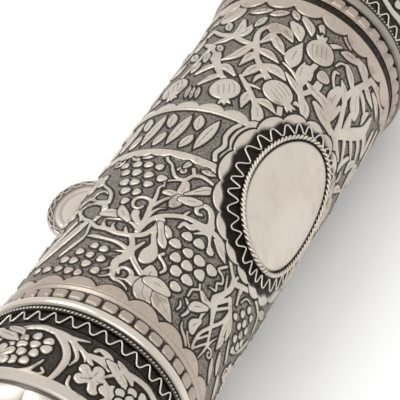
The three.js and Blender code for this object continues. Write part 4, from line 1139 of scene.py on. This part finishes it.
zigzag_silver = polished_silver("silver_zigzag_wire", 1.05, 5.0, 0.26)
for end, side in ENDS:
    turns_z = np.arange(ZIGZAGS * 16) * 360 / (ZIGZAGS * 16)
    sway = zigzag((turns_z - FIRST_BEAD) / 360, ZIGZAGS)
    reach = ZIGZAG_START + ZIGZAG_WIRE + (ZIGZAG_WIDTH - 2 * ZIGZAG_WIRE) * sway
    path = on_case(turns_z, end_place(side, reach), RADIUS + SEAT + ZIGZAG_WIRE) / MM
    outward = on_case(turns_z, 0.0, 1.0) / MM - on_case(turns_z, 0.0, 0.0) / MM
    points, faces = wire_skin(path, outward, ZIGZAG_WIRE, 6)
    wire = closed_piece(f"{end}_zigzag_wire_dressed", points * MM, [faces],
                        {"recess": np.zeros(len(points))})
    finished(wire, zigzag_silver, "polished_silver", f"{end}_zigzag_wire")

# The end sections. Each is a short chased drum, soldered over the tube's end, with grapes,
# leaves and tendrils left bright on a ground that is blackened all over.
DRUM_START = 11.1
DRUM_LENGTH = 14.2
DRUM_SWELL = 0.6

drum_turns = np.concatenate([np.arange(-75.0, 125.0, 0.625), np.arange(125.0, 285.0, 1.6)])
drum_rows = np.linspace(0, 1, 62)


def drum_drawing():
    """The drum's drawing: six times a bunch and a leaf on a stem that runs along the joint with
    the field's trim, from which the places are counted outward."""
    drawing = Chasing(drum_turns, drum_rows * DRUM_LENGTH, RADIUS + 0.6 * DRUM_SWELL)
    for i, b in enumerate(np.arange(-36.0, 324.0, 60.0)):
        for spots, widths in (
                ([(b - 24, 0.42), (b - 17, 0.23), (b - 13, 0.13), (b - 1, 0.07), (b + 7, 0.09),
                  (b + 12, 0.1), (b + 18, 0.12)], [0.5, 0.8, 1.3, 1.6, 1.8, 1.8, 1.4]),
                ([(b + 8, 0.09), (b + 16, 0.22), (b + 20, 0.35), (b + 20, 0.5), (b + 18, 0.64)], [1.6,
                  1.7, 1.6, 1.4, 1]),
                ([(b + 12, 0.1), (b + 20, 0.16), (b + 27, 0.22), (b + 33, 0.31)], [1.5, 1.3, 1.2, 1.1]),
                ([(b + 18, 0.15), (b + 24, 0.29), (b + 23, 0.4)], [1.1, 0.9, 0.4]),
                ([(b + 25, 0.21), (b + 28, 0.28), (b + 28, 0.35)], [0.9, 0.5, 0.2]),
                ([(b + 15, 0.11), (b + 20, 0.09), (b + 25, 0.06)], [1.3, 0.9, 0.4]),
                ([(b + 27, 0.21), (b + 33, 0.18), (b + 37, 0.15), (b + 36, 0.1), (b + 31, 0.085),
                  (b + 29.5, 0.13)], [1.1, 1.5, 2.2, 1.8, 1.1, 0.8]),
                ([(b + 28, 0.21), (b + 34, 0.205), (b + 40, 0.24)], [1, 1.2, 0.5]),
                ([(b - 14, 0.58), (b - 8, 0.63), (b - 1, 0.63), (b + 6, 0.59), (b + 9, 0.52),
                  (b + 11, 0.45)], [0.6, 0.9, 1, 1, 0.8, 0.5]),
                ([(b + 6, 0.59), (b + 11, 0.61), (b + 14, 0.57), (b + 12, 0.53)], [0.8, 0.8, 0.7, 0.6]),
                ([(b + 26, 0.5), (b + 27, 0.58), (b + 31, 0.62)], [0.6, 0.8, 0.5])):
            drawing.blade(spots, widths)
        for spots, widths, gap in (
                ([(b - 20, 0.34), (b - 15, 0.42), (b - 12, 0.53)], [0.5, 1.7, 0.6], None),
                ([(b + 52, 0.27), (b + 47, 0.22), (b + 42, 0.17), (b + 37, 0.145)], [0.8, 2.4, 2.6, 0.9],
                  0.1),
                ([(b + 53, 0.19), (b + 50, 0.14), (b + 44, 0.1), (b + 41, 0.07)], [0.7, 1.7, 1.6, 0.5],
                  0.1)):
            drawing.blade(spots, widths, True, gap)
        drawing.grapes([(b - 5, 0.25), (b + 1, 0.2), (b + 8, 0.235), (b - 10, 0.345), (b - 4, 0.325),
                        (b + 2.5, 0.305), (b + 9, 0.33), (b - 8, 0.425), (b - 2, 0.41), (b + 4.5, 0.405),
                        (b - 4, 0.51), (b + 2, 0.5)], 1.12, 40 + i)
        drawing.stamp((b + 35, 0.42), 6.0, vine_leaf(3.9, 5, 170))
        drawing.stamp((b + 47, 0.46), 6.0, vine_leaf(3.4, 5, 120))
    return drawing


drum_silver = chased_silver("chased_silver_drums", 0.97, 0.6)
for end, side in ENDS:
    drawing = drum_drawing()
    share = drum_rows[:, None]
    swell = RADIUS + DRUM_SWELL * np.sin(math.pi * share)
    lip = smooth_step(0.94, 0.97, share)
    edge = np.maximum(drawing.edge, np.where(lip > 0.5, 0.2, -1.5))
    raised = chased_height(edge, drawing.vein, 0.0)
    radii_d = swell + np.clip(raised, -0.2, RELIEF)
    inner = np.full((2, len(drum_turns)), RADIUS - WALL)
    distance = DRUM_START + np.concatenate([drum_rows, [1.0, 0.0]]) * DRUM_LENGTH
    fill = np.full((2, len(drum_turns)), 0.0)
    soot_and_shade = np.concatenate([np.clip(0.85 * (1 - smooth_step(-0.1, 0.1, edge)), 0, 1), fill])
    drum_values = {"edge": np.clip(np.concatenate([edge, fill + 1]), -1, 1), "soot_and_shade": soot_and_shade,
                   "vein": np.clip(np.concatenate([drawing.vein, fill + 1]), -1, 1)}
    drum = band(f"{end}_drum_dressed", drum_turns, end_place(side, distance)[:, None],
                np.concatenate([radii_d, inner]), drum_values, 50)
    finished(drum, drum_silver, "blackened_silver", f"{end}_drum")

# The domes. Raised sheet, lobed like a melon, that closes each end behind a plain rim band;
# soot stays along the rim and in the grooves, and the neck takes the handle or the finial.
RIM_WIDTH = 2.7
RIM_HEIGHT = 0.9
DOME_DEPTH = 9.5
DOME_LOBES = 14
LOBE_DEPTH = 0.7
NECK_RADIUS = 6.2
TENON_HOLE = 3.0
DOME_START = DRUM_START + DRUM_LENGTH + SEAT

dome_turns = np.arange(DOME_LOBES * 20) * 360 / (DOME_LOBES * 20)
dome_silver = polished_silver("chased_silver_domes", 0.95, 8.0, 0.3)
for end, side in ENDS:
    angle = np.linspace(0.04, 1, 40)
    bowl = NECK_RADIUS + (RADIUS - NECK_RADIUS) * np.sqrt(1 - angle ** 2)
    rim_place = np.array([0.0, 0.12, 0.35, RIM_WIDTH - 0.35, RIM_WIDTH - 0.12, RIM_WIDTH])
    rim_radius = RADIUS + np.array([0.0, 0.6, RIM_HEIGHT, RIM_HEIGHT, 0.6, 0.0])
    outside_place = np.concatenate([rim_place, RIM_WIDTH + DOME_DEPTH * angle])
    outside_radius = np.concatenate([rim_radius, bowl])[:, None]
    lobe = np.abs(np.sin(np.radians(dome_turns) * DOME_LOBES / 2))[None, :]
    bowl_groove = np.sin(math.pi * np.clip(angle, 0, 1)) ** 0.6
    groove = np.concatenate([np.zeros(len(rim_place)), bowl_groove])[:, None]
    outside = outside_radius - LOBE_DEPTH * groove * (1 - lobe) ** 1.3
    shoulder = NECK_RADIUS + (RADIUS - NECK_RADIUS) * 0.76
    inside_place = np.array([DOME_DEPTH, DOME_DEPTH - WALL, 0.65 * DOME_DEPTH - WALL, -RIM_WIDTH])
    inside_place = inside_place + RIM_WIDTH
    inside_radius = np.array([TENON_HOLE, TENON_HOLE, shoulder - WALL, RADIUS - WALL])
    radii_o = np.concatenate([outside, inside_radius[:, None] + 0 * dome_turns[None, :]])
    places_o = end_place(side, DOME_START + np.concatenate([outside_place, inside_place]))[:, None]
    recess = np.concatenate([groove * (1 - smooth_step(0.0, 0.22, lobe)), np.zeros((4, len(dome_turns)))])
    recess[len(rim_place) - 1:len(rim_place) + 2] = 0.9
    dome = band(f"{end}_dome_dressed", dome_turns, places_o, radii_o, {"recess": recess}, 50)
    finished(dome, dome_silver, "chased_silver", f"{end}_dome")

# The handle and the finial. Both are cast, turned and polished, and pinned through the domes by
# a short tenon; soot has settled in their grooves.
HANDLE_LENGTH = 58.0
HANDLE_RADIUS = 6.6
FINIAL_LENGTH = 21.0
FINIAL_RADIUS = 5.6
TENON_RADIUS = 2.8
TURNED_SEAT = DOME_START + RIM_WIDTH + DOME_DEPTH
HANDLE_SHARES = ((0, 0.85), (0.05, 0.85), (0.08, 0.5), (0.14, 0.55), (0.19, 1), (0.24, 0.55), (0.3, 0.6),
                 (0.52, 0.9), (0.7, 0.72), (0.8, 0.5), (0.85, 0.9), (0.92, 0.95), (0.97, 0.6), (1, 0))
FINIAL_SHARES = ((0, 0.9), (0.12, 0.9), (0.2, 0.5), (0.34, 0.62), (0.5, 1), (0.66, 0.8), (0.76, 0.4),
                 (0.86, 0.45), (0.94, 0.32), (1, 0))


def end_caps(rows, columns):
    """The two faces that close a grid of points at its first and at its last row."""
    first = np.arange(columns)
    return np.array([first[::-1], (rows - 1) * columns + first])


def turned_piece(name, side, length, radius, shares):
    """A turned solid: a smoothed profile of (share of length, share of radius) pairs carried
    around the axis, closed by small discs at its tenon and its tip."""
    along, out = np.array(shares).T
    fine = np.unique(np.concatenate([np.linspace(0, 1, 120), along]))
    eased = np.interp(fine, along, out)
    reach = np.exp(-np.linspace(-2, 2, 9) ** 2)
    eased[4:-4] = np.convolve(eased, reach / reach.sum(), mode="valid")
    tip = np.sqrt(np.clip((1 - fine) / 0.03, 0, 1))
    eased = np.where(fine > 0.97, out[-2] * tip * 0.98 + 0.004, eased)
    places = np.concatenate([[-2 * WALL - SEAT, -2 * WALL - SEAT, -0.02], fine * length + SEAT])
    radii = np.concatenate([[0.02, TENON_RADIUS, TENON_RADIUS], eased * radius])
    turns_p = np.arange(72) * 5.0
    along_case = end_place(side, TURNED_SEAT + places)[:, None]
    points = on_case(turns_p[None, :], along_case, radii[:, None]).reshape(-1, 3)
    rows, columns = len(radii), len(turns_p)
    around = np.convolve(np.pad(radii, 12, mode="edge"), np.ones(25) / 25, mode="valid")
    hollow = np.repeat(0.75 * smooth_step(0.04, 0.3, around - radii), columns)
    faces = [quads(rows, columns, False), end_caps(rows, columns)]
    return closed_piece(name, points, faces, {"recess": hollow}, 45)


turned_silver = polished_silver("polished_silver_turned", 1.0, 9.0, 0.2)
handle = turned_piece("handle_dressed", -1, HANDLE_LENGTH, HANDLE_RADIUS, HANDLE_SHARES)
finished(handle, turned_silver, "polished_silver", "handle")
finial = turned_piece("finial_dressed", 1, FINIAL_LENGTH, FINIAL_RADIUS, FINIAL_SHARES)
finished(finial, turned_silver, "polished_silver", "finial")

# The cartouche. A plain oval silver plate, bent to the case and soldered on for an owner's
# words, with a twisted wire close around it and a bent wire standing on blackened ground.
PLATE_THICKNESS = 0.7
PLATE_SIDES = 144
CARTOUCHE_WIRE_OFFSET = 0.7
CARTOUCHE_WIRE_RADIUS = 0.6
CARTOUCHE_STRAND_RADIUS = 0.33
CARTOUCHE_ZIGZAG_OFFSET = 1.6
CARTOUCHE_ZIGZAG_DEPTH = 2.4
CARTOUCHE_ZIGZAG_WIRE = 0.2
CARTOUCHE_WAVES = 29


def on_oval(angle, offset, radius):
    """Points in metres around the plate's oval, grown by the offset: the cosine runs around the
    case and the sine along it."""
    around_case = (PLATE_HALF_WIDTH + offset) * np.cos(angle) / RADIUS
    turn = CARTOUCHE_TURN + FACING_TURN + np.degrees(around_case)
    return on_case(turn, cartouche_place + (plate_half_length + offset) * np.sin(angle), radius)


plate_angles = np.arange(PLATE_SIDES) * 2 * math.pi / PLATE_SIDES
underside, topside = np.linspace(0.02, 0.99, 8), np.linspace(1, 0.02, 26)
plate_share = np.concatenate([underside, topside])[:, None]
bevel = 1 - np.clip((topside - 0.97) / 0.03, 0, 1) ** 2 * 0.6
plate_rise = np.concatenate([0 * underside, PLATE_THICKNESS * bevel])[:, None]
plate_turn = np.degrees(plate_share * PLATE_HALF_WIDTH * np.cos(plate_angles) / RADIUS)
plate_place = cartouche_place + plate_share * plate_half_length * np.sin(plate_angles)
plate_points = on_case(CARTOUCHE_TURN + FACING_TURN + plate_turn, plate_place, RADIUS + SEAT + plate_rise)
plate_faces = [quads(len(plate_share), PLATE_SIDES, False), end_caps(len(plate_share), PLATE_SIDES)]
plate_recess = np.repeat(np.where(plate_share[:, 0] > 0.985, 0.8, 0.0), PLATE_SIDES)
plate = closed_piece("cartouche_plate_dressed", plate_points.reshape(-1, 3), plate_faces,
                     {"recess": plate_recess}, 50)
plate_silver = polished_silver("polished_silver_plate", 1.06, 16.0, 0.36)
finished(plate, plate_silver, "polished_silver", "cartouche_plate")

oval_angles = np.arange(680) * 2 * math.pi / 680
oval_out = on_oval(oval_angles, 0.0, RADIUS + 1) / MM - on_oval(oval_angles, 0.0, RADIUS) / MM
wire_path = on_oval(oval_angles, CARTOUCHE_WIRE_OFFSET, RADIUS + 2 * SEAT + CARTOUCHE_WIRE_RADIUS) / MM
bright_twist = polished_silver("silver_cartouche_wire", 1.05, 6.0, 0.26)
twist = twisted("cartouche_twisted_wire_dressed", wire_path, oval_out, CARTOUCHE_WIRE_RADIUS,
                CARTOUCHE_STRAND_RADIUS, (-0.7, 0.4))
finished(twist, bright_twist, "chased_silver", "cartouche_twisted_wire")

uneven = 0.004 * np.sin(5 * oval_angles + 1) + 0.003 * np.sin(9 * oval_angles)
sway = zigzag(oval_angles / (2 * math.pi) + uneven, CARTOUCHE_WAVES)
uneven_depth = 1 - 0.12 * np.maximum(0, np.sin(oval_angles)) ** 2 + 0.06 * np.sin(7 * oval_angles)
zigzag_offset = CARTOUCHE_ZIGZAG_OFFSET + CARTOUCHE_ZIGZAG_DEPTH * uneven_depth * sway
zigzag_path = on_oval(oval_angles, zigzag_offset, RADIUS + 2 * SEAT + CARTOUCHE_ZIGZAG_WIRE) / MM
points, faces = wire_skin(zigzag_path, oval_out, CARTOUCHE_ZIGZAG_WIRE, 6)
wire = closed_piece("cartouche_zigzag_wire_dressed", points * MM, [faces],
                    {"recess": np.zeros(len(points))})
finished(wire, zigzag_silver, "polished_silver", "cartouche_zigzag_wire")

# The pull bar. A silver strip that lies over the slot with a tongue in it; the edge of the
# parchment is held to the tongue, and the strip stops it from winding in.
BAR_LENGTH = FIELD - 2 * SLOT_MARGIN - 0.6
BAR_WIDTH = 4.8
BAR_THICKNESS = 1.1
BAR_TONGUE = 1.4
BAR_SCORE = 0.16
TONGUE_WIDTH = 2.4
BAR_SEAT = RADIUS + 2 * SEAT

half, tongue, top = BAR_WIDTH / 2, TONGUE_WIDTH / 2, BAR_SEAT + BAR_THICKNESS
half_out = np.array([BAR_SEAT - BAR_TONGUE, BAR_SEAT, BAR_SEAT, top - 0.3, top - 0.08, top, top,
                     top - BAR_SCORE, top - BAR_SCORE, top])
half_across = np.array([tongue, tongue, half, half, half - 0.1, half - 0.3, 1.72, 1.66, 1.5, 1.44])
bar_out = np.concatenate([half_out, half_out[::-1]])
bar_across = np.concatenate([-half_across, half_across[::-1]])
bar_share = np.concatenate([[0, 0.0012, 0.004], np.linspace(0.01, 0.99, 40), [0.996, 0.9988, 1]])
end_bevel = 1 - 0.1 * (1 - np.clip(np.minimum(bar_share, 1 - bar_share) / 0.004, 0, 1)) ** 2
bar_x = RIDGE_X + (FIELD - BAR_LENGTH) / 2 + BAR_LENGTH * bar_share
lowered = np.where(bar_out > BAR_SEAT, end_bevel[:, None], 1.0)
raised_out = BAR_SEAT + (bar_out[None, :] - BAR_SEAT) * lowered
bar_points = np.stack(np.broadcast_arrays(
    bar_x[:, None], AXIS_Y + raised_out, AXIS_Z + bar_across[None, :]), axis=-1)
bar_faces = [quads(len(bar_share), len(bar_out), False), end_caps(len(bar_share), len(bar_out))]
in_score = (bar_out > BAR_SEAT) & (np.abs(bar_out - top + BAR_SCORE) < 0.01)
scored_in = np.tile(np.where(in_score, 0.9, 0.0), len(bar_share))
pull_bar = closed_piece("pull_bar_dressed", bar_points.reshape(-1, 3) * MM, bar_faces,
                        {"recess": scored_in}, 30)
bar_silver = polished_silver("polished_silver_bar", 0.97, 12.0, 0.28)
finished(pull_bar, bar_silver, "polished_silver", "pull_bar")

# The thumb plate. A half-oval silver plate that stands on the pull bar for the fingers, with a
# ridge near its edge and a braided rim soldered around it.
THUMB_SHARE = 0.417
THUMB_HALF_WIDTH = 8.25
THUMB_REACH = 5.9
RIM_WIRE = 0.7
RIM_STEPS = 360
RIM_SIDES = 28
THUMB_ROOT = BAR_SEAT + BAR_THICKNESS + SEAT
thumb_place = THUMB_SHARE * FIELD
sweep = np.linspace(0, math.pi, 90)[None, :]
inward = np.concatenate([np.linspace(0.02, 0.76, 14), np.linspace(0.78, 0.995, 16), [1.0]])
ridge = 0.24 * np.exp(-((inward - 0.86) / 0.05) ** 2)
dish = 0.36 + 0.08 * smooth_step(0.75, 0.2, inward) + ridge
dish = np.where(inward > 0.995, 0.22, dish)
shares = np.concatenate([inward, inward[::-1]])[:, None]
heights = np.concatenate([dish, -dish[::-1]])[:, None] + 0 * sweep
thumb_points = np.stack(np.broadcast_arrays(
    RIDGE_X + thumb_place + shares * THUMB_HALF_WIDTH * np.cos(sweep),
    AXIS_Y + THUMB_ROOT + shares * THUMB_REACH * np.sin(sweep), AXIS_Z + heights), axis=-1)
thumb_rows, thumb_columns = 2 * len(inward), sweep.shape[1]
thumb_caps = np.array([np.arange(thumb_rows) * thumb_columns,
                       (np.arange(thumb_rows) * thumb_columns + thumb_columns - 1)[::-1]])
valley = 0.5 * np.exp(-((shares - 0.765) / 0.02) ** 2) + 0.7 * np.exp(-((shares - 0.97) / 0.02) ** 2)
valley = valley + 0 * sweep
thumb = closed_piece("thumb_plate_dressed", thumb_points.reshape(-1, 3) * MM,
                     [quads(thumb_rows, thumb_columns, True, False), thumb_caps], {"recess": valley}, 40)
finished(thumb, plate_silver, "polished_silver", "thumb_plate")

braid_angle = np.linspace(math.pi / 18, 17 * math.pi / 18, RIM_STEPS)[:, None]
reach_a, reach_b = THUMB_HALF_WIDTH + RIM_WIRE + SEAT, THUMB_REACH + RIM_WIRE + SEAT
middle_x, middle_y = reach_a * np.cos(braid_angle), reach_b * np.sin(braid_angle)
out_x, out_y = reach_b * np.cos(braid_angle), reach_a * np.sin(braid_angle)
out_length = np.hypot(out_x, out_y)
step = np.hypot(np.diff(middle_x[:, 0]), np.diff(middle_y[:, 0]))
run = np.concatenate([[0], np.cumsum(step)])[:, None]
around_rim = (np.arange(RIM_SIDES) * 2 * math.pi / RIM_SIDES)[None, :]
across_rim, lift_rim = np.cos(around_rim), np.sin(around_rim)
wave = math.pi * run / 2.9
strand = np.minimum(np.abs(across_rim - 0.62 * np.sin(wave)), np.abs(across_rim + 0.62 * np.sin(wave)))
border = np.abs(np.abs(across_rim) - 0.95)
solid = smooth_step(0.36, 0.16, np.minimum(strand, border))
girth = RIM_WIRE * (0.62 + 0.38 * solid)
flatness = np.sign(lift_rim) * np.abs(lift_rim) ** 0.5
rim_points = np.stack(np.broadcast_arrays(
    RIDGE_X + thumb_place + middle_x + RIM_WIRE * across_rim * out_x / out_length,
    AXIS_Y + THUMB_ROOT + middle_y + RIM_WIRE * across_rim * out_y / out_length,
    AXIS_Z + girth * flatness), axis=-1)
rim_faces = [quads(RIM_STEPS, RIM_SIDES, False), end_caps(RIM_STEPS, RIM_SIDES)]
rim = closed_piece("thumb_rim_dressed", rim_points.reshape(-1, 3) * MM, rim_faces,
                   {"recess": (1 - solid) ** 0.5}, 70)
rim_silver = polished_silver("braided_silver_rim", 0.92, 6.0, 0.34)
finished(rim, rim_silver, "chased_silver", "thumb_rim")

# The floor. A plain sheet of white paper under the case.
FLOOR_REACH = 3
floor_points = [(x * FLOOR_REACH, y * FLOOR_REACH, 0) for x, y in ((-1, -1), (1, -1), (1, 1), (-1, 1))]
floor = put_mesh("floor", floor_points, [np.array([[0, 1, 2, 3]])], False)
white = Finish("white_paper", Roughness=0.9)
white.shader.inputs["Base Color"].default_value = (0.9, 0.9, 0.9, 1)
floor.data.materials.append(white.material)

# The light. An even white studio, with a soft box on the left and one above and behind the case.
world = bpy.data.worlds.new("studio")
world.use_nodes = True
world.node_tree.nodes["Background"].inputs[0].default_value = (1, 1, 1, 1)
world.node_tree.nodes["Background"].inputs[1].default_value = 1.0
bpy.context.scene.world = world
bpy.context.scene.view_settings.view_transform = "Standard"


def area_light(name, spot, aim, size, power):
    """A square soft box of a size in metres at a spot, turned towards its aim."""
    lamp = bpy.data.lights.new(name, "AREA")
    lamp.size = size
    lamp.energy = power
    holder = bpy.data.objects.new(name, lamp)
    bpy.context.collection.objects.link(holder)
    holder.location = spot
    holder.rotation_euler = (Vector(aim) - Vector(spot)).to_track_quat("-Z", "Y").to_euler()


area_light("left_softbox", (-0.7, -0.2, 0.5), (0, 0, 0.02), 0.5, 2)
area_light("top_softbox", (-0.1, 0.36, 0.75), (0, 0, 0.02), 0.5, 2)

# The camera. It stands far off, with its place in tube radii from the lower ridge's middle, and
# sees the case run out of the picture at both ends.
CAMERA_LENS = 234
CAMERA_PLACE = (-14.67, -7.503, 16.11)
CAMERA_AIM = (0.695, 0.3075, -0.650)
ridge_middle = Vector((RIDGE_X * MM, AXIS_Y * MM, AXIS_Z * MM))
camera_data = bpy.data.cameras.new("camera")
camera_data.lens = CAMERA_LENS
camera = bpy.data.objects.new("camera", camera_data)
bpy.context.collection.objects.link(camera)
camera.location = ridge_middle + float(RADIUS) * MM * Vector(CAMERA_PLACE)
camera.rotation_euler = Vector(CAMERA_AIM).to_track_quat("-Z", "Y").to_euler()
bpy.context.scene.camera = camera
